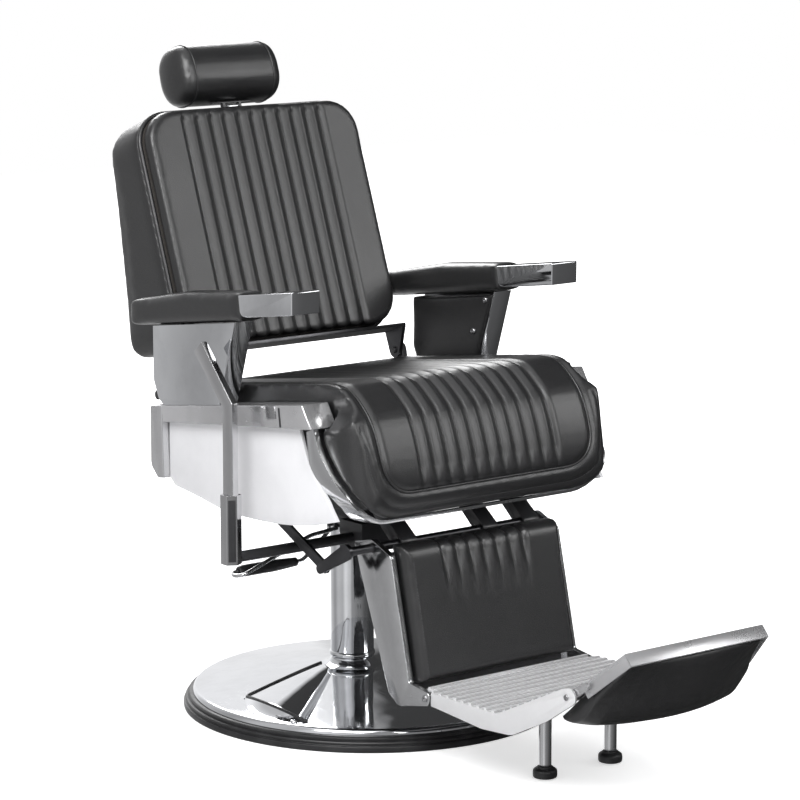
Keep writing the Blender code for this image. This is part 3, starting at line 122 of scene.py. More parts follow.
def paint_room():
    """White to the eye, an even grey as light, and in mirrors soft cards all round under a white ceiling."""
    room = bpy.data.worlds.new("studio_room")
    bpy.context.scene.world = room
    room.use_nodes = True
    tree = room.node_tree
    tree.nodes.clear()
    path = put(tree, "ShaderNodeLightPath")
    spot = put(tree, "ShaderNodeTexCoord")
    split = put(tree, "ShaderNodeSeparateXYZ", Vector=spot.outputs["Generated"])
    turn = reckoned(tree, "ARCTAN2", split.outputs["Y"], split.outputs["X"])
    cards = put(tree, "ShaderNodeValToRGB", Fac=rescaled(tree, turn, (-math.pi, math.pi)))
    ramp = cards.color_ramp
    ramp.interpolation = "EASE"
    for element in ramp.elements:
        element.color = (card_end_tone, card_end_tone, card_end_tone * 1.01, 1)
    for position, tone in card_tones:
        ramp.elements.new(position).color = (tone, tone, tone * 1.01, 1)
    lift = rescaled(tree, split.outputs["Z"], ceiling_edge, curve="SMOOTHSTEP")
    sky = blend_colours(tree, lift, cards.outputs["Color"], (0.96, 0.96, 0.97))
    mirrored = blend_colours(tree, path.outputs["Is Glossy Ray"], (0.48, 0.48, 0.49), sky)
    white = blend_colours(tree, path.outputs["Is Camera Ray"], mirrored, (1.0, 1.0, 1.0))
    air = put(tree, "ShaderNodeBackground", Color=white, Strength=1.0)
    put(tree, "ShaderNodeOutputWorld", Surface=air.outputs[0])


def placed(name, data):
    """A new object in the scene, with this mesh, curve, lamp or camera."""
    thing = bpy.data.objects.new(name, data)
    bpy.context.scene.collection.objects.link(thing)
    return thing


paint_room()

camera = placed("camera", bpy.data.cameras.new("camera"))
camera.data.lens = 148.55
camera.data.sensor_width = 36
camera.data.clip_end = 60
camera_place = Vector((-3.71373, -4.75033, 1.64598))
camera_axes = (Vector((0.77855922, -0.62757114, 0)), Vector((0.1107679, 0.13741768, 0.98430018)),
               Vector((-0.61771839, -0.76633598, 0.17650255)))
camera.matrix_world = Matrix.Translation(camera_place) @ Matrix(camera_axes).transposed().to_4x4()
bpy.context.scene.camera = camera
bpy.context.scene.view_settings.view_transform = "Standard"

chair_middle = Vector((0, -0.2, 0.55))
for lamp_name, lamp_place, lamp_size, lamp_power in (
        ("key_softbox", (-2.6, -1.6, 3.4), 2.2, 135),
        ("front_softbox", (-0.6, -4.2, 2.6), 2.0, 58),
        ("side_softbox", (3.1, -3.3, 2.7), 1.9, 48),
        ("rim_softbox", (1.3, 3.4, 3.0), 2.0, 80)):
    lamp = bpy.data.lights.new(lamp_name, "AREA")
    lamp.size = lamp_size
    lamp.energy = lamp_power
    softbox = placed(lamp_name, lamp)
    softbox.location = lamp_place
    aim = chair_middle - Vector(lamp_place)
    softbox.rotation_euler = aim.to_track_quat("-Z", "Y").to_euler()


def floor_paint():
    """Matt and pale, brighter to the eye further from the chair, and clear to mirrors."""
    paint = bpy.data.materials.new("studio_floor_paint")
    paint.use_nodes = True
    tree = paint.node_tree
    tree.nodes.clear()
    path = put(tree, "ShaderNodeLightPath")
    reach = put(tree, "ShaderNodeVectorMath", operation="LENGTH", Vector=own_spot(tree))
    strength = rescaled(tree, reach.outputs["Value"], (0.8, 2.2), (0.58, 1.2))
    matt = put(tree, "ShaderNodeBsdfDiffuse", Color=(0.90, 0.90, 0.90)).outputs[0]
    glow = put(tree, "ShaderNodeEmission", Color=(1, 1, 1), Strength=strength).outputs[0]
    lit = put(tree, "ShaderNodeAddShader")
    tree.links.new(matt, lit.inputs[0])
    tree.links.new(glow, lit.inputs[1])
    seen = blend_shaders(tree, path.outputs["Is Camera Ray"], matt, lit.outputs[0])
    clear = put(tree, "ShaderNodeBsdfTransparent").outputs[0]
    shown = blend_shaders(tree, path.outputs["Is Glossy Ray"], seen, clear)
    put(tree, "ShaderNodeOutputMaterial", Surface=shown)
    return paint


bpy.ops.mesh.primitive_plane_add(size=16, location=(0, 0, 0))
floor = bpy.context.active_object
floor.name = "studio_floor"
floor.data.materials.append(floor_paint())


# ================================================================ base
# A pressed and plated steel dome on a flat plate, with a thick rubber ring
# round its edge and a raised fairing over the foot valve, held by one screw.
record = frame["record"]
body_of_node = {node: body for body, nodes in record["behaviour"]["bodies"].items() for node in nodes}


def add_on(piece, node):
    """A small extra piece that moves with a frame node."""
    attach(piece, body_of_node[node])


def stand_in_for(piece, node):
    """The piece moves with a frame node and is shown instead of it."""
    add_on(piece, node)
    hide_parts(node)


def only(piece):
    """Leave nothing but this piece selected and active."""
    bpy.ops.object.select_all(action="DESELECT")
    piece.select_set(True)
    bpy.context.view_layer.objects.active = piece


def work_on_all(piece):
    """Go into edit mode with the whole piece selected."""
    only(piece)
    bpy.ops.object.mode_set(mode="EDIT")
    bpy.ops.mesh.select_all(action="SELECT")


def face_outwards(piece):
    work_on_all(piece)
    bpy.ops.mesh.normals_make_consistent(inside=False)
    bpy.ops.object.mode_set(mode="OBJECT")


def coat(piece, finish):
    piece.data.materials.clear()
    piece.data.materials.append(finish)


def finished(piece, finish, angle=35):
    """Shade a piece smooth up to an angle between its faces, and give it its finish."""
    only(piece)
    bpy.ops.object.shade_smooth_by_angle(angle=math.radians(angle))
    coat(piece, finish)
    return piece


def apply_all(piece):
    only(piece)
    for modifier in list(piece.modifiers):
        bpy.ops.object.modifier_apply(modifier=modifier.name)


def give_wall(piece, thickness):
    """The sheet that a piece is pressed from, inwards of its face."""
    sheet = piece.modifiers.new("sheet", "SOLIDIFY")
    sheet.thickness = thickness
    sheet.offset = -1


def roll_edges(piece, width, segments=3, angle=30):
    """Edges rolled over, as the press or the polishing wheel leaves them."""
    bevel = piece.modifiers.new("rolled_edges", "BEVEL")
    bevel.width = width
    bevel.segments = segments
    bevel.limit_method = "ANGLE"
    bevel.angle_limit = math.radians(angle)


def settle(piece):
    """Put the piece's place into its mesh."""
    only(piece)
    bpy.ops.object.transform_apply(location=True, rotation=True, scale=True)


def welded(node, name):
    """A copy of a frame node with its loose triangles joined into flat faces."""
    piece = placed(name, frame["nodes"][node].data.copy())
    work_on_all(piece)
    bpy.ops.mesh.remove_doubles(threshold=0.00002)
    bpy.ops.mesh.dissolve_limited(angle_limit=math.radians(0.6))
    bpy.ops.object.mode_set(mode="OBJECT")
    if piece.data.has_custom_normals:
        bpy.ops.mesh.customdata_custom_splitnormals_clear()
    return piece


def rounded_copy(node, name, width, finish, segments=3, angle=32):
    """A frame node with its edges rolled over."""
    piece = welded(node, name)
    roll_edges(piece, width, segments, angle)
    apply_all(piece)
    finished(piece, finish)
    stand_in_for(piece, node)
    return piece


def group_with(name, inputs, outputs):
    """An empty group of shader nodes with named inputs and outputs."""
    group = bpy.data.node_groups.new(name, "ShaderNodeTree")
    for way, socket_names in (("INPUT", inputs), ("OUTPUT", outputs)):
        for socket_name in socket_names:
            group.interface.new_socket(socket_name, in_out=way, socket_type="NodeSocketFloat")
    return group


def noise(tree, spot, scale, detail, roughness=0.5, **more):
    """A cloudy value that varies over the piece."""
    clouds = put(tree, "ShaderNodeTexNoise", Vector=spot, Scale=scale, Detail=detail, Roughness=roughness)
    return set_up(tree, clouds, **more).outputs["Fac"]


def marks_group():
    """Smudges, fine wiping scratches and faint dents of handled metal and plastic."""
    group = group_with("handling_marks", ("Smudge Scale", "Scratch Scale"), ("Smudge", "Scratch", "Height"))
    given = put(group, "NodeGroupInput").outputs
    spot = own_spot(group)
    cloud = noise(group, spot, given["Smudge Scale"], 5.0, 0.62)
    stretch = put(group, "ShaderNodeMapping", Vector=spot, Scale=(1.0, 0.06, 0.35), Rotation=(0.3, 0.2, 0.9))
    hair = noise(group, stretch.outputs[0], given["Scratch Scale"], 2.0)
    put(group, "NodeGroupOutput", Smudge=rescaled(group, cloud, (0.42, 0.68)),
        Scratch=rescaled(group, hair, (0.63, 0.70)), Height=noise(group, spot, 14.0, 1.0))
    return group


handling_marks = marks_group()


def new_finish(name):
    """A material with its nodes and its shader."""
    finish = bpy.data.materials.new(name)
    finish.use_nodes = True
    return finish, finish.node_tree, finish.node_tree.nodes["Principled BSDF"]


def bumped(tree, height, strength, distance):
    """The normal of a surface that has this height."""
    return put(tree, "ShaderNodeBump", Height=height, Strength=strength, Distance=distance).outputs[0]


def metal(name, tone, rough, smudged, dull=0.10, wave=0.0006, metallic=1.0, coat_weight=0.0):
    """A plated, brushed or painted metal: its tone, and its roughness where clean and where smudged."""
    finish, tree, shader = new_finish(name)
    marks = put(tree, "ShaderNodeGroup", node_tree=handling_marks,
                Smudge_Scale=11.0, Scratch_Scale=420.0).outputs
    dulled = tuple(channel * (1 - dull) for channel in tone)
    gloss = rescaled(tree, marks["Smudge"], wanted=(rough, smudged))
    set_up(tree, shader, Metallic=metallic, Coat_Weight=coat_weight,
           Base_Color=blend_colours(tree, marks["Smudge"], tone, dulled),
           Roughness=reckoned(tree, "MULTIPLY_ADD", marks["Scratch"], 0.05, gloss),
           Normal=bumped(tree, marks["Height"], 1.0, wave))
    return finish


chrome = metal("polished_chrome", (0.80, 0.81, 0.83), 0.045, 0.11)

base_ahead = 0.057       # how far the base reaches in front of the column
dome_radius = 0.333
dome_roll = 0.008        # its rolled edge: how wide, and how high
dome_roll_rise = 0.0098
dome_foot = 0.0285
flare_radius = 0.060     # where the flare of the neck starts
flare_height = 0.064
neck_radius = 0.037
shoulder_radius = dome_radius - dome_roll
shoulder_height = dome_foot + dome_roll_rise


def dome_middle(radius):
    """The rings of the dome slide forward as they widen."""
    return -base_ahead * min(1.0, max(0.0, (radius - neck_radius) / (dome_radius - neck_radius)))


def dome_height(radius):
    """Side profile of the dome: a rolled edge, a shallow rise and a flared neck."""
    if radius > shoulder_radius:
        share = (radius - shoulder_radius) / dome_roll
        return dome_foot + dome_roll_rise * math.sqrt(max(0.0, 1 - share ** 2))
    if radius > flare_radius:
        share = (radius - flare_radius) / (shoulder_radius - flare_radius)
        return flare_height - (flare_height - shoulder_height) * share ** 1.2
    flare = (flare_radius - radius) / (flare_radius - neck_radius)
    return flare_height + 0.006 * flare + 0.0088 * flare ** 3


def on_dome(spot, rise):
    """The point that lies this high above the dome at a place of the floor."""
    radius = spot.length
    for _ in range(12):
        radius = math.hypot(spot.x, spot.y - dome_middle(radius))
    return Vector((spot.x, spot.y, dome_height(radius) + rise))


def turned(name, rings, steps, filled=False):
    """A round piece drawn out ring by ring; each ring is a radius and the place of its middle."""
    radius, here = rings[0][0], Vector(rings[0][1])
    fill = "NGON" if filled else "NOTHING"
    bpy.ops.mesh.primitive_circle_add(vertices=steps, radius=radius, fill_type=fill, location=here)
    piece = bpy.context.active_object
    piece.name = name
    settle(piece)
    work_on_all(piece)
    for next_radius, there in rings[1:]:
        bpy.ops.mesh.extrude_region_move()
        grow = next_radius / radius
        bpy.ops.transform.resize(value=(grow, grow, 1), center_override=here)
        bpy.ops.transform.translate(value=Vector(there) - here)
        radius, here = next_radius, Vector(there)
    bpy.ops.mesh.select_all(action="SELECT")
    bpy.ops.mesh.remove_doubles(threshold=0.000005)
    bpy.ops.mesh.normals_make_consistent(inside=False)
    bpy.ops.object.mode_set(mode="OBJECT")
    return piece


dome_rings = [dome_radius - dome_roll * (1 - math.cos(math.radians(15 * k))) for k in range(7)]
dome_rings += [shoulder_radius + (flare_radius - shoulder_radius) * k / 22 for k in range(1, 23)]
dome_rings += [flare_radius + (neck_radius - flare_radius) * k / 8 for k in range(1, 9)]
dome = turned("base_dome_pressing", [(r, (0, dome_middle(r), dome_height(r))) for r in dome_rings], 180)
give_wall(dome, 0.0018)
apply_all(dome)
finished(dome, chrome, 50)
stand_in_for(dome, "base_dome")


def grid(name, columns, rows, place):
    """A sheet of small squares; place(along, across) gives each of its points."""
    bpy.ops.mesh.primitive_grid_add(x_subdivisions=columns, y_subdivisions=rows, size=1, location=(0, 0, 0))
    piece = bpy.context.active_object
    piece.name = name
    for vertex in piece.data.vertices:
        vertex.co = place(vertex.co.x + 0.5, vertex.co.y + 0.5)
    return piece


# the fairing is a half tunnel that widens from the neck to an arched mouth; each
# edge runs from the neck to a corner of the mouth
fairing_rear = (Vector((-0.048, 0.034)), Vector((-0.259, -0.016)))
fairing_front = (Vector((-0.066, -0.033)), Vector((-0.266, -0.214)))
fairing_bulge = 0.022                  # how far the mouth bows out between its corners
fairing_rise = (0.002, 0.015)          # height of the arch at the neck and at the mouth
arch_power = 0.9
edge_sunk = 0.0010                     # how far its edges reach into the dome


def fairing_point(along, across):
    near = fairing_front[0].lerp(fairing_front[1], along)
    far = fairing_rear[0].lerp(fairing_rear[1], along)
    swell = math.sin(math.pi * across)
    spot = near.lerp(far, across) + (near + far).normalized() * fairing_bulge * swell * along ** 3
    rise = fairing_rise[0] + (fairing_rise[1] - fairing_rise[0]) * along
    return on_dome(spot, rise * swell ** arch_power - edge_sunk)


fairing = grid("base_fairing", 28, 24, fairing_point)
face_outwards(fairing)
give_wall(fairing, 0.0016)
roll_edges(fairing, 0.0006, 2)
apply_all(fairing)
finished(fairing, chrome, 50)
add_on(fairing, "base_dome")

apron_reach = 0.026


def mouth(across, out=0.0, lift=0.0):
    """A point of the fairing's arched mouth, or of the apron below it, further out and lower."""
    spot = fairing_front[1].lerp(fairing_rear[1], across)
    swell = math.sin(math.pi * across)
    spot = spot + spot.normalized() * (fairing_bulge * swell + out * apron_reach * swell ** 0.5)
    rise = fairing_rise[1] * swell ** arch_power * (1 - out) ** 1.4
    return on_dome(spot, rise + lift * (1 - out) - edge_sunk)


apron = grid("base_apron", 12, 28, lambda out, across: mouth(across, out, -0.0026))
give_wall(apron, 0.0014)
apply_all(apron)
face_outwards(apron)
finished(apron, chrome, 50)
add_on(apron, "base_dome")


def rod(name, points, radius, finish, closed=False):
    """A round rod, piping cord or bead bent along a smooth line."""
    curve = bpy.data.curves.new(name, "CURVE")
    curve.dimensions = "3D"
    line = curve.splines.new("POLY")
    line.points.add(len(points) - 1)
    for point, spot in zip(line.points, points):
        point.co = (*spot, 1)
    line.use_cyclic_u = closed
    curve.bevel_depth = radius
    curve.bevel_resolution = 3
    curve.use_fill_caps = not closed
    only(placed(name, curve))
    bpy.ops.object.convert(target="MESH")
    return finished(bpy.context.active_object, finish, 50)


def spun(name, profile, middle, finish, steps=96, filled=False):
    """A turned piece: the profile is drawn out round an upright axis."""
    piece = turned(name, [(radius, (*middle, height)) for radius, height in profile], steps, filled)
    return finished(piece, finish)


def screw_head(name, place, facing, radius, rise, finish, node):
    """A domed screw head with a hexagon socket, facing out of the surface that it holds."""
    piece = spun(name, [(radius, -0.0005), (radius, rise * 0.35), (radius * 0.93, rise * 0.62),
                        (radius * 0.72, rise * 0.9), (radius * 0.50, rise)], (0, 0), finish, 28, filled=True)
    across, low, high = radius * 0.46, (0, 0, rise * 0.3), (0, 0, rise * 2.3)
    socket = turned(name + "_socket_cutter", [(across, low), (across, high)], 6, filled=True)
    only(piece)
    cut = piece.modifiers.new("socket", "BOOLEAN")
    cut.operation = "DIFFERENCE"
    cut.solver = "EXACT"
    cut.object = socket
    apply_all(piece)
    bpy.data.objects.remove(socket)
    turn = Vector(facing).to_track_quat("Z", "Y").to_matrix().to_4x4()
    piece.matrix_world = Matrix.Translation(place) @ turn
    settle(piece)
    finished(piece, finish)
    add_on(piece, node)


apron_screw = on_dome(Vector((-0.2833, -0.1929)), 0.0006)
screw_head("base_apron_screw", apron_screw, (-0.10, -0.06, 1), radius=0.0070, rise=0.0038, finish=chrome,
           node="base_dome")


def moulded_rubber():
    """Black rubber with a fine moulded skin and some dust."""
    finish, tree, shader = new_finish("moulded_rubber")
    spot = own_spot(tree)
    skin = noise(tree, spot, 900.0, 3.0)
    dusty = rescaled(tree, noise(tree, spot, 22.0, 6.0, 0.6), (0.45, 0.75), (0.0, 0.7))
    set_up(tree, shader, Roughness=rescaled(tree, dusty, wanted=(0.36, 0.58)),
           Base_Color=blend_colours(tree, dusty, (0.012, 0.012, 0.013), (0.035, 0.035, 0.036)),
           Normal=bumped(tree, skin, 0.35, 0.0004))
    return finish


rubber = moulded_rubber()
# painted shadow: a thin black rubber rod along the fairing's mouth and rear edge stands in for the shade of the
# gap where the fairing meets the dome
shadow_line_path = [mouth(0.02 + 0.96 * k / 40) for k in range(41)]
shadow_line_path += [on_dome(fairing_rear[1].lerp(fairing_rear[0], step / 28), 0.0004) for step in range(1, 29)]
add_on(rod("base_fairing_painted_shadow", shadow_line_path, 0.0024, rubber), "base_dome")

# the ring's profile has two grooves between three beads
ring_profile = [(0.3186, 0.0), (0.3472, 0.0), (0.3496, 0.0014), (0.3500, 0.0038), (0.3500, 0.0098),
                (0.3490, 0.0116), (0.3462, 0.0122), (0.3455, 0.0130), (0.3455, 0.0146), (0.3468, 0.0152),
                (0.3470, 0.0172), (0.3455, 0.0190), (0.3420, 0.0197), (0.3412, 0.0204), (0.3412, 0.0218),
                (0.3422, 0.0224), (0.3420, 0.0248), (0.3400, 0.0270), (0.3370, 0.0278), (0.3186, 0.0278),
                (0.3186, 0.0)]
base_middle = (0, -base_ahead)
stand_in_for(spun("base_rubber_ring", ring_profile, base_middle, rubber, 200), "base_ring")

satin_steel = metal("brushed_steel", (0.46, 0.46, 0.47), 0.24, 0.36)
plate_profile = [(0.3180, 0.0002), (0.3180, 0.0070), (0.3172, 0.0078), (0.090, 0.0078), (0.088, 0.0070)]
underplate = spun("base_underplate", plate_profile, base_middle, satin_steel, 120, filled=True)
stand_in_for(underplate, "base_plate")


# ================================================================ column
# A chromed outer sleeve turns and rises over a fixed steel tube that holds the
# hydraulic ram; a rolled collar at its foot meets the neck of the dome.
sleeve_profile = [(0.0347, 0.0812), (0.0396, 0.0806), (0.0420, 0.0814), (0.0430, 0.0836), (0.0430, 0.0868),
                  (0.0421, 0.0884), (0.0409, 0.0890), (0.0402, 0.0898), (0.0407, 0.0912), (0.0407, 0.3515),
                  (0.0400, 0.3527), (0.0347, 0.3527), (0.0347, 0.0812)]
stand_in_for(spun("column_sleeve_tube", sleeve_profile, (0, 0), chrome, 120), "column_sleeve")
tube_profile = [(0.0288, 0.0084), (0.0330, 0.0084), (0.0334, 0.0090), (0.0334, 0.2985), (0.0328, 0.2997),
                (0.0288, 0.2997), (0.0288, 0.0084)]
stand_in_for(spun("column_inner_tube", tube_profile, (0, 0), satin_steel), "cylinder_tube")
neck_profile = [(0.0345, 0.0790), (0.0372, 0.0792), (0.0392, 0.0780), (0.0398, 0.0764), (0.0392, 0.0748),
                (0.0375, 0.0744)]
add_on(spun("base_neck_ring", neck_profile, (0, 0), chrome), "base_dome")
rounded_copy("piston_rod", "hydraulic_ram", 0.0006, satin_steel)
rounded_copy("thrust_bearing", "turntable_bearing", 0.0006, satin_steel)
black_steel = metal("black_painted_steel", (0.028, 0.028, 0.030), 0.30, 0.46, dull=0.3, wave=0.0003,
                    metallic=0.0, coat_weight=0.15)
rounded_copy("swivel_head", "turntable_head", 0.0015, black_steel)


# ================================================================ seat frame
# A folded tray and brackets in black painted steel carry the seat board; thick
# chromed rails, end caps and a front band hide the edges of gloss white panels.
seat_at, seat_tilt = (0, 0.45), math.radians(8)


def tilted(place, turn, x, y, z):
    """A point given in a tilted part's own frame: the tilt lifts its front edge."""
    return Vector((x, place[0] + y * math.cos(turn) + z * math.sin(turn),
                   place[1] - y * math.sin(turn) + z * math.cos(turn)))


def level(place, turn, point):
    """The reverse: how far behind and above its frame's place a point of a tilted part lies."""
    y, z = point.y - place[0], point.z - place[1]
    return y * math.cos(turn) - z * math.sin(turn), y * math.sin(turn) + z * math.cos(turn)


def in_seat(x, y, z):
    return tilted(seat_at, seat_tilt, x, y, z)


satin_chrome = metal("worn_chrome", (0.70, 0.705, 0.715), 0.14, 0.26, dull=0.14)
rail_plating = metal("brushed_rail_plating", (0.66, 0.66, 0.67), 0.18, 0.26, wave=0.0004, metallic=0.85)
rounded_copy("seat_tray", "folded_tray", 0.0012, black_steel)
for side in ("left", "middle", "right"):
    rounded_copy("legrest_hanger_" + side, "hanger_" + side, 0.0012, black_steel)
for side in ("left", "right"):
    rounded_copy("recline_bracket_" + side, "hinge_plate_" + side, 0.0010, black_steel)
    rounded_copy("rail_" + side, "armrest_rail_" + side, 0.0022, rail_plating, 4)
    rounded_copy("rear_cap_" + side, "rail_end_cap_" + side, 0.0020, rail_plating, 4)


def stained_plywood():
    """Birch plywood stained black, with thin dark glue lines at its cut edges."""
    finish, tree, shader = new_finish("birch_plywood")
    spot = own_spot(tree)
    along_grain = put(tree, "ShaderNodeMapping", Vector=spot, Scale=(3.0, 30.0, 30.0))
    grain = noise(tree, along_grain.outputs[0], 5.0, 6.0, Distortion=0.8)
    plies = put(tree, "ShaderNodeTexWave", bands_direction="Z", Vector=spot, Scale=220.0, Distortion=0.4)
    face = blend_colours(tree, grain, (0.030, 0.027, 0.024), (0.050, 0.044, 0.038))
    glue_line = rescaled(tree, plies.outputs["Fac"], (0.75, 0.95), (0.0, 0.25))
    set_up(tree, shader, Roughness=0.62,
           Base_Color=blend_colours(tree, glue_line, face, (0.020, 0.018, 0.016)))
    return finish


plywood = stained_plywood()
rounded_copy("seat_board", "plywood_seat_board", 0.0012, plywood, 2)


def white_lacquer():
    """Sprayed gloss lacquer with a faint orange peel."""
    finish, tree, shader = new_finish("gloss_white_lacquer")
    marks = put(tree, "ShaderNodeGroup", node_tree=handling_marks, Smudge_Scale=9.0, Scratch_Scale=300.0)
    smudge = marks.outputs["Smudge"]
    peel = noise(tree, own_spot(tree), 380.0, 1.0)
    set_up(tree, shader, Base_Color=blend_colours(tree, smudge, (0.73, 0.73, 0.745), (0.68, 0.68, 0.695)),
           Roughness=rescaled(tree, smudge, wanted=(0.13, 0.24)),
           Normal=bumped(tree, peel, 0.12, 0.0003))
    return finish


gloss_white = white_lacquer()
for side in ("left", "right"):
    rounded_copy("side_panel_" + side, "white_side_" + side, 0.0014, gloss_white)
rounded_copy("rear_panel", "white_rear", 0.0014, gloss_white)
rounded_copy("front_band", "polished_front_band", 0.0013, satin_chrome, angle=50)


def small_box(name, place, low, high, edge, finish, node):
    """A little block with rolled edges; low and high are its corners, which place() sets in the chair."""
    bpy.ops.mesh.primitive_cube_add(size=1)
    block = bpy.context.active_object
    block.name = name
    for vertex in block.data.vertices:
        vertex.co = place(*[far if sign > 0 else near for near, far, sign in zip(low, high, vertex.co)])
    face_outwards(block)
    roll_edges(block, edge)
    apply_all(block)
    finished(block, finish)
    add_on(block, node)


# a small folded clip on each rail, and beside it a thin black block as painted shade of a slot
for side, hand in (("right", -1), ("left", 1)):
    small_box("rail_clip_" + side, in_seat, (hand * 0.322, -0.2215, 0.1165),
              (hand * 0.3285, -0.1950, 0.1395), 0.0011, satin_steel, "rail_" + side)
    small_box("rail_slot_painted_shade_" + side, in_seat, (hand * 0.322, -0.2345, 0.1010),
              (hand * 0.3266, -0.2285, 0.1360), 0.0011, black_steel, "rail_" + side)


# ================================================================ arms
# Each arm is a board upholstered in black leatherette with a thick stuffed pad
# on top, a polished steel plate on its outer face and a chromed hand cap.
def leather_group():
    """Pebbled grain of pressed leatherette with faint creases; gives tone, gloss and height."""
    group = group_with("leather_grain", (), ("Tone", "Gloss", "Height"))
    spot = own_spot(group)
    shift = put(group, "ShaderNodeTexNoise", Vector=spot, Scale=160.0, Detail=2.0)
    push = put(group, "ShaderNodeVectorMath", operation="MULTIPLY_ADD")
    for socket, source in zip(push.inputs, (shift.outputs["Color"], (0.0018, 0.0018, 0.0018), spot)):
        feed(group, socket, source)
    pebble = put(group, "ShaderNodeTexVoronoi", feature="SMOOTH_F1", Vector=push.outputs[0], Scale=620.0,
                 Smoothness=0.25).outputs["Distance"]
    crease = noise(group, spot, 34.0, 3.0, 0.6, noise_type="RIDGED_MULTIFRACTAL")
    round_top = rescaled(group, pebble, (0.15, 0.75), (1.0, 0.0))
    crease_line = rescaled(group, crease, (1.1, 1.9), (0.0, 0.9))
    worn = noise(group, spot, 7.0, 5.0, 0.55)
    put(group, "NodeGroupOutput", Tone=rescaled(group, pebble, (0.2, 0.9)),
        Gloss=rescaled(group, worn, (0.35, 0.65), (0.33, 0.44)),
        Height=reckoned(group, "SUBTRACT", round_top, crease_line))
    return group


def leatherette():
    """Black leatherette with a soft sheen of dressing over its grain."""
    finish, tree, shader = new_finish("black_leatherette")
    grain = put(tree, "ShaderNodeGroup", node_tree=leather_group()).outputs
    set_up(tree, shader, Coat_Weight=0.6, Coat_Roughness=0.28, Roughness=grain["Gloss"],
           Base_Color=blend_colours(tree, grain["Tone"], (0.0135, 0.0135, 0.0142), (0.008, 0.008, 0.0086)),
           Normal=bumped(tree, grain["Height"], 0.55, 0.00035))
    return finish


leather = leatherette()


def skin_of(mesh):
    """The surface of a mesh, to measure against."""
    spots = [vertex.co.copy() for vertex in mesh.vertices]
    return BVHTree.FromPolygons(spots, [tuple(face.vertices) for face in mesh.polygons])


def stuff(piece):
    """Blow the piece up like a filled bag."""
    stuffing = piece.modifiers.new("stuffing", "CLOTH")
    cloth = stuffing.settings
    cloth.use_pressure = True
    cloth.uniform_pressure_force = 4
    cloth.effector_weights.gravity = 0
    cloth.quality = 4
    cloth.mass = 0.25
    cloth.tension_stiffness = 8
    cloth.compression_stiffness = 4
    cloth.bending_stiffness = 0.6
    stuffing.point_cache.frame_end = 20
    for step in range(1, 21):
        bpy.context.scene.frame_set(step)
    apply_all(piece)
    bpy.context.scene.frame_set(1)


def pillow(node, name, voxel, inset, cap):
    """Leatherette over foam: a frame solid drawn in, stuffed until it fills its space, and made smooth.

    The voxel is how fine it is made first, and the cap how far the stuffing may push a point.
    """
    piece = welded(node, name)
    shell = skin_of(frame["nodes"][node].data)
    work_on_all(piece)
    bpy.ops.transform.shrink_fatten(value=-inset)
    bpy.ops.object.mode_set(mode="OBJECT")
    piece.data.remesh_voxel_size = voxel
    bpy.ops.object.voxel_remesh()
    before = [vertex.co.copy() for vertex in piece.data.vertices]
    stuff(piece)
    for vertex, start in zip(piece.data.vertices, before):
        move = vertex.co - start
        if move.length > cap:
            vertex.co = start + move.normalized() * cap
    hold_in(piece, shell)
    work_on_all(piece)
    bpy.ops.mesh.vertices_smooth(factor=0.5, repeat=3)
    bpy.ops.object.mode_set(mode="OBJECT")
    finer = piece.modifiers.new("finer", "SUBSURF")
    finer.levels = 1
    finer.render_levels = 1
    apply_all(piece)
    hold_in(piece, shell)
    bpy.ops.object.shade_smooth()
    coat(piece, leather)
    stand_in_for(piece, node)
    return piece


def hold_in(piece, shell, skin=0.0006):
    """Keep every point of a stuffed piece inside the space of its frame solid."""
    for vertex in piece.data.vertices:
        spot, out, _, _ = shell.find_nearest(vertex.co)
        if (vertex.co - spot).dot(out) > -skin:
            vertex.co = spot - out * skin


def cord(name, points, radius, node, closed=False):
    """Piping: a cord wrapped in leatherette, sewn into a seam."""
    piping = rod(name, points, radius, leather, closed)
    add_on(piping, node)


def raised(points, out, height):
    """The points lifted off their surface along its normals."""
    return [point + normal * height for point, normal in zip(points, out)]


def black_thread():
    """Twisted sewing thread, a little paler than the leatherette."""
    finish, tree, shader = new_finish("black_thread")
    twist = put(tree, "ShaderNodeTexWave", bands_direction="DIAGONAL", Vector=own_spot(tree), Scale=900.0,
                Distortion=0.5)
    tone = blend_colours(tree, twist.outputs["Fac"], (0.022, 0.022, 0.023), (0.075, 0.075, 0.078))
    set_up(tree, shader, Base_Color=tone, Roughness=0.5)
    return finish


thread_yarn = black_thread()
hexagon = [round(math.radians(60 * k), 3) for k in range(6)]
# rings of a stitch: place along it as a share of the gap, height and radius as shares of its thickness
stitch_rings = ((-0.42, -0.9, 0.35), (-0.25, 0.0, 0.9), (0.0, 0.25, 1.0), (0.25, 0.0, 0.9),
                (0.42, -0.9, 0.35))


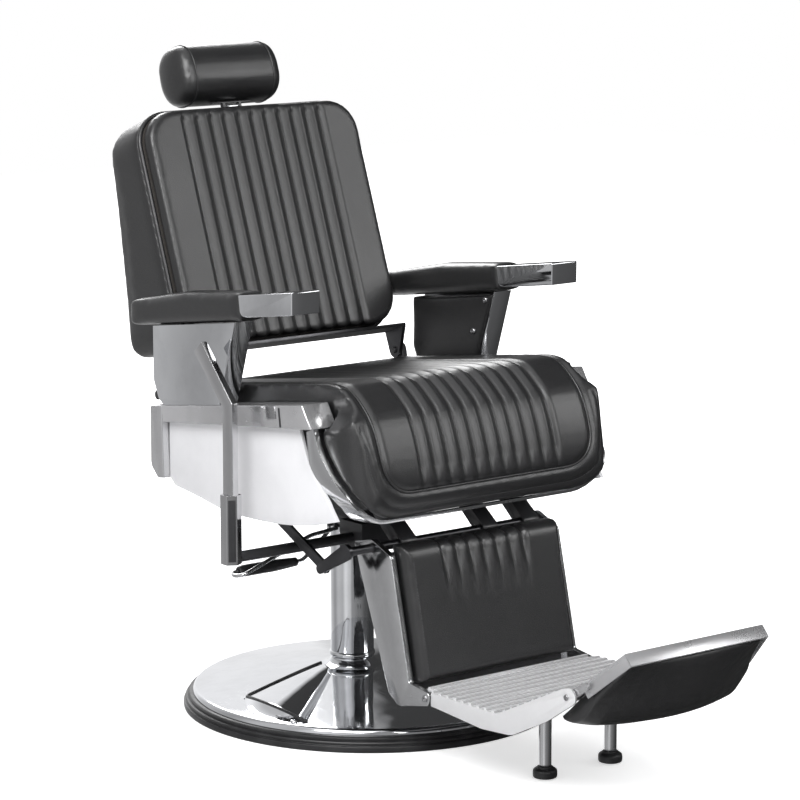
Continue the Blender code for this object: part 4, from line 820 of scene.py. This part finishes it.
def stitches(name, points, out, gap, thick, node):
    """A row of thread stitches lying along a seam, each sunk a little at both ends."""
    steps, total = [0.0], 0.0
    for here, there in zip(points, points[1:]):
        total += (there - here).length
        steps.append(total)
    thread = bmesh.new()
    place = 0
    for number in range(int(total / gap)):
        middle = (number + 0.5) * gap
        while steps[place + 1] < middle:
            place += 1
        share = (middle - steps[place]) / (steps[place + 1] - steps[place])
        spot = points[place].lerp(points[place + 1], share)
        along = (points[place + 1] - points[place]).normalized()
        up = out[place]
        side = along.cross(up).normalized()
        rings = []
        for reach, lift, size in stitch_rings:
            centre = spot + along * gap * reach + up * thick * lift
            spokes = [side * math.cos(turn) + up * math.sin(turn) for turn in hexagon]
            rings.append([thread.verts.new(centre + spoke * thick * size) for spoke in spokes])
        for low, high in zip(rings, rings[1:]):
            for k in range(6):
                thread.faces.new((low[k], low[k - 1], high[k - 1], high[k]))
        thread.faces.new(rings[0])
        thread.faces.new(rings[-1][::-1])
    bmesh.ops.recalc_face_normals(thread, faces=thread.faces)
    mesh = bpy.data.meshes.new(name)
    thread.to_mesh(mesh)
    add_on(finished(placed(name, mesh), thread_yarn, 60), node)


for side, hand in (("right", -1), ("left", 1)):
    pillow("arm_pad_" + side, "armrest_pad_" + side, voxel=0.0045, inset=0.0030, cap=0.0065)
    pillow("arm_core_" + side, "arm_board_" + side, voxel=0.0050, inset=0.0016, cap=0.005)
    rounded_copy("arm_plate_" + side, "polished_arm_plate_" + side, 0.0016, chrome)
    rounded_copy("arm_cap_" + side, "hand_cap_" + side, 0.0022, chrome, 4)
    for number, (along, up) in enumerate(((-0.0874, 0.2722), (-0.0441, 0.2141))):
        screw_head(f"arm_screw_{side}_{number}", in_seat(hand * 0.2826, along, up), (-hand, 0, 0),
                   radius=0.0060, rise=0.0032, finish=satin_steel, node="arm_plate_" + side)


# ================================================================ seat cushion
# Foam over the plywood board, rolled down over the knees, in black leatherette
# with ten stuffed flutes, plain side panels, piped edges and a stitched border.
seam_margin = 0.012      # how far an outermost seam draws in the plain panel beside it
seam_gather = 0.0018     # points this near a seam are drawn together, so that it stays sharp


def fluted(piece, flutes, pitch, depth, reach):
    """Press the seams between the flutes.

    reach(point, normal) is 1 where they run deep and 0 where they end.
    """
    half = pitch * flutes / 2
    seams = [-half + pitch * k for k in range(flutes + 1)]
    normals = [vertex.normal.copy() for vertex in piece.data.vertices]
    for vertex, out in zip(piece.data.vertices, normals):
        share = reach(vertex.co, out)
        if share <= 0 or abs(vertex.co.x) > half + seam_margin:
            continue
        nearest = min(seams, key=lambda seam: abs(seam - vertex.co.x))
        away = vertex.co.x - nearest
        if abs(away) < seam_gather:
            vertex.co.x = nearest + away * 0.25
            away *= 0.25
        if abs(vertex.co.x) < half:
            valley = 1 - min(1.0, abs(away) / (pitch / 2)) ** 0.62
        else:
            valley = max(0.0, 1 - abs(away) / seam_margin) ** 1.6
        vertex.co -= out * depth * share * valley


def grown(distance, full):
    """From 0 where a distance is nothing to 1 where it is full."""
    return min(1.0, max(0.0, distance / full))


def pressed_line(piece, spots, depth, width):
    """Press a stitched groove along a line of points."""
    corners = spots + [spot + Vector((0, 0, 0.0001)) for spot in spots]
    line = BVHTree.FromPolygons(corners, [(k, k + 1, k + 1 + len(spots)) for k in range(len(spots) - 1)])
    normals = [vertex.normal.copy() for vertex in piece.data.vertices]
    for vertex, out in zip(piece.data.vertices, normals):
        away = line.find_nearest(vertex.co, width * 3)[3]
        if away is not None:
            vertex.co -= out * depth * math.exp(-(away / width) ** 2)


def on_surface(piece, points, aims):
    """Drop points onto a stuffed piece along directions; gives the landing points and their normals."""
    skin = skin_of(piece.data)
    landed, out = [], []
    for point, aim in zip(points, aims):
        spot, normal, _, _ = skin.ray_cast(point, aim, 0.3)
        if spot is not None:
            landed.append(spot)
            out.append(normal)
    return landed, out


# side profile of the cushion in the seat's frame, y and z: forward over the top and down the knee roll
roll_profile = [(0.130, 0.1725), (-0.2845, 0.1725), (-0.3253, 0.1655), (-0.3570, 0.1400), (-0.3862, 0.1038),
                (-0.4020, 0.0487), (-0.4082, -0.0059), (-0.4020, -0.0430), (-0.3840, -0.0770)]
roll_total = 0.7315      # its length
flutes_rear = 0.120      # where the flutes start in front of the back
flutes_low = -0.036      # where they have faded out, above the border seam
cast_from = 0.06         # seam points are dropped onto the leatherette from this far outside it
sides_from = 0.22        # further out than this they are dropped from the side as well


def along_roll(distance):
    """The point of the side profile that lies this far along it."""
    for here, there in zip(roll_profile, roll_profile[1:]):
        length = math.dist(here, there)
        if distance <= length:
            share = distance / length
            return (here[0] + (there[0] - here[0]) * share, here[1] + (there[1] - here[1]) * share)
        distance -= length
    return roll_profile[-1]


def roll_normal(distance):
    """Outward direction of the side profile."""
    here, there = along_roll(max(0.0, distance - 0.012)), along_roll(min(roll_total, distance + 0.012))
    run = Vector((there[0] - here[0], there[1] - here[1])).normalized()
    return run.y, -run.x


def cushion_reach(point, out):
    """Flutes start a hand in front of the back and fade out above the border seam."""
    y, z = level(seat_at, seat_tilt, point)
    if abs(out.x) > 0.6 or (z < 0.12 and y > -0.30):
        return 0.0
    return grown(z - flutes_low, 0.05) * grown(flutes_rear - y, 0.03)


def framed(side_x, low_end, corner, first):
    """A seam line down one side of the roll, round a corner, across below the flutes and up again."""
    path = [(-side_x, first + (low_end - corner - first) * step / 60) for step in range(61)]
    path += [(-side_x + corner * (1 - math.cos(turn)), low_end - corner + corner * math.sin(turn))
             for turn in [math.pi / 2 * step / 14 for step in range(1, 15)]]
    down_one_side = path[:]
    width = side_x - corner
    path += [(-width + 2 * width * step / 60, low_end) for step in range(1, 60)]
    path += [(-x, distance) for x, distance in reversed(down_one_side)]
    starts, aims = [], []
    for x, distance in path:
        out_y, out_z = roll_normal(distance)
        y, z = along_roll(distance)
        sideways = math.copysign(max(0.0, abs(x) - sides_from), x)
        outer = in_seat(x + sideways, y + out_y * cast_from, z + out_z * cast_from)
        starts.append(outer)
        aims.append((in_seat(x, y, z) - outer).normalized())
    spots, out = on_surface(cushion, starts, aims)
    for _ in range(6):
        spots[1:-1] = [(a + b * 2 + c) / 4 for a, b, c in zip(spots, spots[1:], spots[2:])]
        out[1:-1] = [(a + b * 2 + c).normalized() for a, b, c in zip(out, out[1:], out[2:])]
    return spots, out


cushion = pillow("seat_cushion", "seat_cushion_stuffed", voxel=0.0062, inset=0.0010, cap=0.0030)
fluted(cushion, flutes=10, pitch=0.031, depth=0.0075, reach=cushion_reach)
panel_line = (0.243, roll_total - 0.054, 0.060, 0.02)      # as framed() takes them
border_line = (0.273, roll_total - 0.024, 0.085, 0.55)
for line, depth, width in ((panel_line, 0.0050, 0.0075), (border_line, 0.0018, 0.0050)):
    pressed_line(cushion, framed(*line)[0], depth, width)
panel_spots, panel_out = framed(*panel_line)
cord("seat_panel_piping", raised(panel_spots, panel_out, 0.0012), 0.0022, "seat_cushion")
border_spots, border_out = framed(*border_line)
stitches("seat_border_stitches", raised(border_spots, border_out, 0.0008), border_out, gap=0.0055,
         thick=0.00050, node="seat_cushion")


# ================================================================ back
# A fluted foam pad on a plywood board with a deep stuffed rear cover, piped all
# round where the two meet, on a steel hinge frame that turns over the seat.
pivot_of = {joint["name"]: joint["pos_m"] for joint in frame["joints"]}
recline_at, back_rake = pivot_of["back_recline"][1:], math.radians(19.8)


def in_back(x, y, z):
    """A point in the back's own frame: y points rearward, z up along the raked back."""
    return tilted(recline_at, back_rake, x, y, z)


dark_steel = metal("oiled_steel", (0.10, 0.10, 0.105), 0.28, 0.42, dull=0.25, wave=0.0003)
rounded_copy("back_hinge_frame", "recline_hinge_frame", 0.0010, dark_steel)
rounded_copy("recline_link", "recline_connecting_bar", 0.0008, dark_steel)
rounded_copy("backrest_board", "plywood_back_board", 0.0012, plywood, 2)
pillow("backrest_cover", "backrest_rear_cover", voxel=0.0070, inset=0.0010, cap=0.0035)
back_pad = pillow("backrest_pad", "backrest_front_pad", voxel=0.0056, inset=0.0012, cap=0.0036)


def back_reach(point, out):
    """Flutes cover the front face and roll over its top and bottom edges."""
    behind, up = level(recline_at, back_rake, point)
    if abs(out.x) > 0.7:
        return 0.0
    return grown(-0.024 - behind, 0.010) * grown(0.494 - up, 0.020)


fluted(back_pad, flutes=10, pitch=0.0317, depth=0.0068, reach=back_reach)


def rounded_frame(half, low, high, corner, steps=10):
    """Points round a rectangle with rounded corners, in x and z."""
    points = []
    centres = ((half - corner, high - corner, 0), (corner - half, high - corner, 90),
               (corner - half, low + corner, 180), (half - corner, low + corner, 270))
    for centre_x, centre_z, start in centres:
        for step in range(steps + 1):
            turn = math.radians(start + 90 * step / steps)
            points.append((centre_x + corner * math.cos(turn), centre_z + corner * math.sin(turn)))
    return points


back_edge = rounded_frame(half=0.2470, low=0.0480, high=0.4970, corner=0.063)
cord("back_piping", [in_back(x, -0.0140, z) for x, z in back_edge], 0.0048, "backrest_pad", closed=True)


# ================================================================ headrest
# A stuffed roll with round piped ends on a tilting bracket, carried by a flat
# chromed bar that slides in a guide inside the back.
rounded_copy("headrest_bar", "headrest_slide_bar", 0.0012, chrome)
rounded_copy("headrest_guide", "headrest_slide_guide", 0.0006, satin_steel)
rounded_copy("headrest_bracket", "headrest_tilt_bracket", 0.0006, black_steel)
headrest = pillow("headrest_cushion", "headrest_roll", voxel=0.0046, inset=0.0012, cap=0.0050)
headrest_axis, headrest_radius = (0.4088, 1.1428), 0.058
piped_at = 0.0900        # how far out from the middle the piping runs
end_bulge = 0.0095       # how far the round ends beyond it bulge
for vertex in headrest.data.vertices:
    off_axis = math.hypot(vertex.co.y - headrest_axis[0], vertex.co.z - headrest_axis[1]) / headrest_radius
    if abs(vertex.co.x) > piped_at - 0.005 and off_axis < 1:
        vertex.co.x += math.copysign(end_bulge * (1 - off_axis ** 2), vertex.co.x)
for side, hand in (("right", -1), ("left", 1)):
    starts, aims = [], []
    for step in range(72):
        turn = math.radians(5 * step)
        aim = Vector((0, math.cos(turn), math.sin(turn)))
        starts.append(Vector((hand * piped_at, *headrest_axis)) + aim * 0.11)
        aims.append(-aim)
    cord("headrest_piping_" + side, raised(*on_surface(headrest, starts, aims), 0.0004), 0.0015,
         "headrest_cushion", closed=True)


# ================================================================ legrest
# A stuffed calf pad whose flutes fade downward, on a black backing plate between
# two bent bars of chromed steel that swing on a cross shaft.
leg_at, leg_rake = pivot_of["legrest_raise"][1:], math.radians(13)


def in_leg(x, y, z):
    return tilted(leg_at, leg_rake, x, y, z)


for side in ("left", "right"):
    rounded_copy("legrest_bar_" + side, "legrest_arm_" + side, 0.0016, satin_chrome)
rounded_copy("legrest_board", "legrest_backing", 0.0010, black_steel)
rounded_copy("legrest_shaft", "legrest_cross_shaft", 0.0008, dark_steel)
small_box("legrest_board_flange", in_leg, (-0.176, -0.0278, -0.264), (0.176, -0.0258, -0.215), 0.0007,
          black_steel, "legrest_board")
leg_pad = pillow("legrest_pad", "legrest_calf_pad", voxel=0.0050, inset=0.0012, cap=0.0042)


def leg_reach(point, out):
    """Deep at the rolled top edge, gone a hand's width below it."""
    behind, up = level(leg_at, leg_rake, point)
    if behind > -0.036 or abs(out.x) > 0.7:
        return 0.0
    return grown(up + 0.115, 0.085) ** 1.4


fluted(leg_pad, flutes=6, pitch=0.031, depth=0.0085, reach=leg_reach)
rearward = in_leg(0, 1, 0) - in_leg(0, 0, 0)
seam_out, seam_low, seam_length = 0.1660, -0.236, 0.215      # the stitched seam down each side of the pad
for side, hand in (("right", -1), ("left", 1)):
    starts = [in_leg(hand * seam_out, -0.10, seam_low + seam_length * step / 40) for step in range(41)]
    spots, out = on_surface(leg_pad, starts, [rearward] * 41)
    stitches("legrest_stitches_" + side, raised(spots, out, 0.0002), out, gap=0.0058, thick=0.00055,
             node="legrest_pad")


# ================================================================ footrest
# A cast aluminium tread, ribbed across for grip, on two threaded posts with
# rubber feet that stop it just above the floor.
def aluminium_with_painted_shade():
    """Polished aluminium with painted shade: the walls between the ribs and the underside are coloured darker."""
    finish = metal("polished_aluminium_painted_shade", (0.92, 0.92, 0.93), 0.32, 0.44, dull=0.06, wave=0.0004,
                   metallic=0.55)
    tree = finish.node_tree
    base_colour = tree.nodes["Principled BSDF"].inputs["Base Color"]
    normal = put(tree, "ShaderNodeTexCoord").outputs["Normal"]
    facing = put(tree, "ShaderNodeSeparateXYZ", Vector=normal).outputs
    # painted shade in the grooves: walls facing front or back are coloured darker
    painted_rib_shade = rescaled(tree, reckoned(tree, "ABSOLUTE", facing["Y"]), (0.25, 0.55), (0.0, 0.70))
    # painted shade under the tread: faces turned down are coloured near black
    painted_underside_shade = rescaled(tree, facing["Z"], (-0.85, -0.6), (1.0, 0.0))
    top = blend_colours(tree, painted_rib_shade, base_colour.links[0].from_socket, (0.16, 0.16, 0.165))
    feed(tree, base_colour, blend_colours(tree, painted_underside_shade, top, (0.05, 0.05, 0.052)))
    return finish


rounded_copy("footrest_tread", "ribbed_tread", 0.0009, aluminium_with_painted_shade(), 2)
post_profile = [(0.0106, 0.0225), (0.0110, 0.0232), (0.0110, 0.1268), (0.0102, 0.1284)]
foot_profile = [(0.0180, 0.0021), (0.0205, 0.0030), (0.0214, 0.0060), (0.0214, 0.0125), (0.0205, 0.0160),
                (0.0180, 0.0182), (0.0142, 0.0192), (0.0138, 0.0215), (0.0120, 0.0219)]
for side, hand in (("left", 1), ("right", -1)):
    post_at = (hand * 0.076, -0.6355)
    post = spun("foot_post_" + side, post_profile, post_at, satin_chrome, 40, filled=True)
    stand_in_for(post, "foot_stem_" + side)
    foot = spun("foot_rubber_" + side, foot_profile, post_at, rubber, 48, filled=True)
    stand_in_for(foot, "foot_pad_" + side)
    screw_head("legrest_foot_screw_" + side, (hand * 0.1968, -0.4558, 0.1234), (hand, 0, 0),
               radius=0.0066, rise=0.0030, finish=satin_steel, node="legrest_bar_" + side)


# ================================================================ kick plate
# A folding board: a chromed steel plate with turned-up edges over a barrel of
# black leatherette, hinged on a shaft through the front of the footrest.
satin_plate = metal("satin_steel_plate", (0.50, 0.50, 0.51), 0.26, 0.38, dull=0.12, wave=0.0005,
                    metallic=0.75)
rounded_copy("kick_plate", "kick_plate_sheet", 0.0010, satin_plate, 2)
rounded_copy("kick_shaft", "kick_hinge_shaft", 0.0006, satin_steel)
pillow("kick_pad", "kick_plate_belly", voxel=0.0048, inset=0.0012, cap=0.0050)


# ================================================================ lever and loop
# The pump lever is a bent steel flat in a socket on the valve shaft; beside it
# hangs a wire loop with a moulded grip that lets the seat down.
polished_steel = metal("polished_steel", (0.66, 0.66, 0.67), 0.09, 0.20)
rounded_copy("pump_lever", "pump_lever_bar", 0.0024, polished_steel, 4)
valve_shaft_at, lever_turn = Vector(pivot_of["pump"]), math.radians(240)


def beside_lever(out, along, up):
    """A point by the socket: out from the lever's axis, along its front face, up from the valve shaft."""
    return valve_shaft_at + Vector((out * math.cos(lever_turn) - along * math.sin(lever_turn),
                                    out * math.sin(lever_turn) + along * math.cos(lever_turn), up))


small_box("lever_socket_inlay", beside_lever, (0.0155, -0.0068, -0.004), (0.0170, 0.0068, 0.108), 0.0004,
          black_steel, "pump_lever")
rounded_copy("lever_shaft", "pump_valve_shaft", 0.0010, black_steel)
rounded_copy("release_loop", "release_wire_loop", 0.0004, satin_chrome, 2)
rounded_copy("release_grip", "release_handle_grip", 0.0016, rubber)
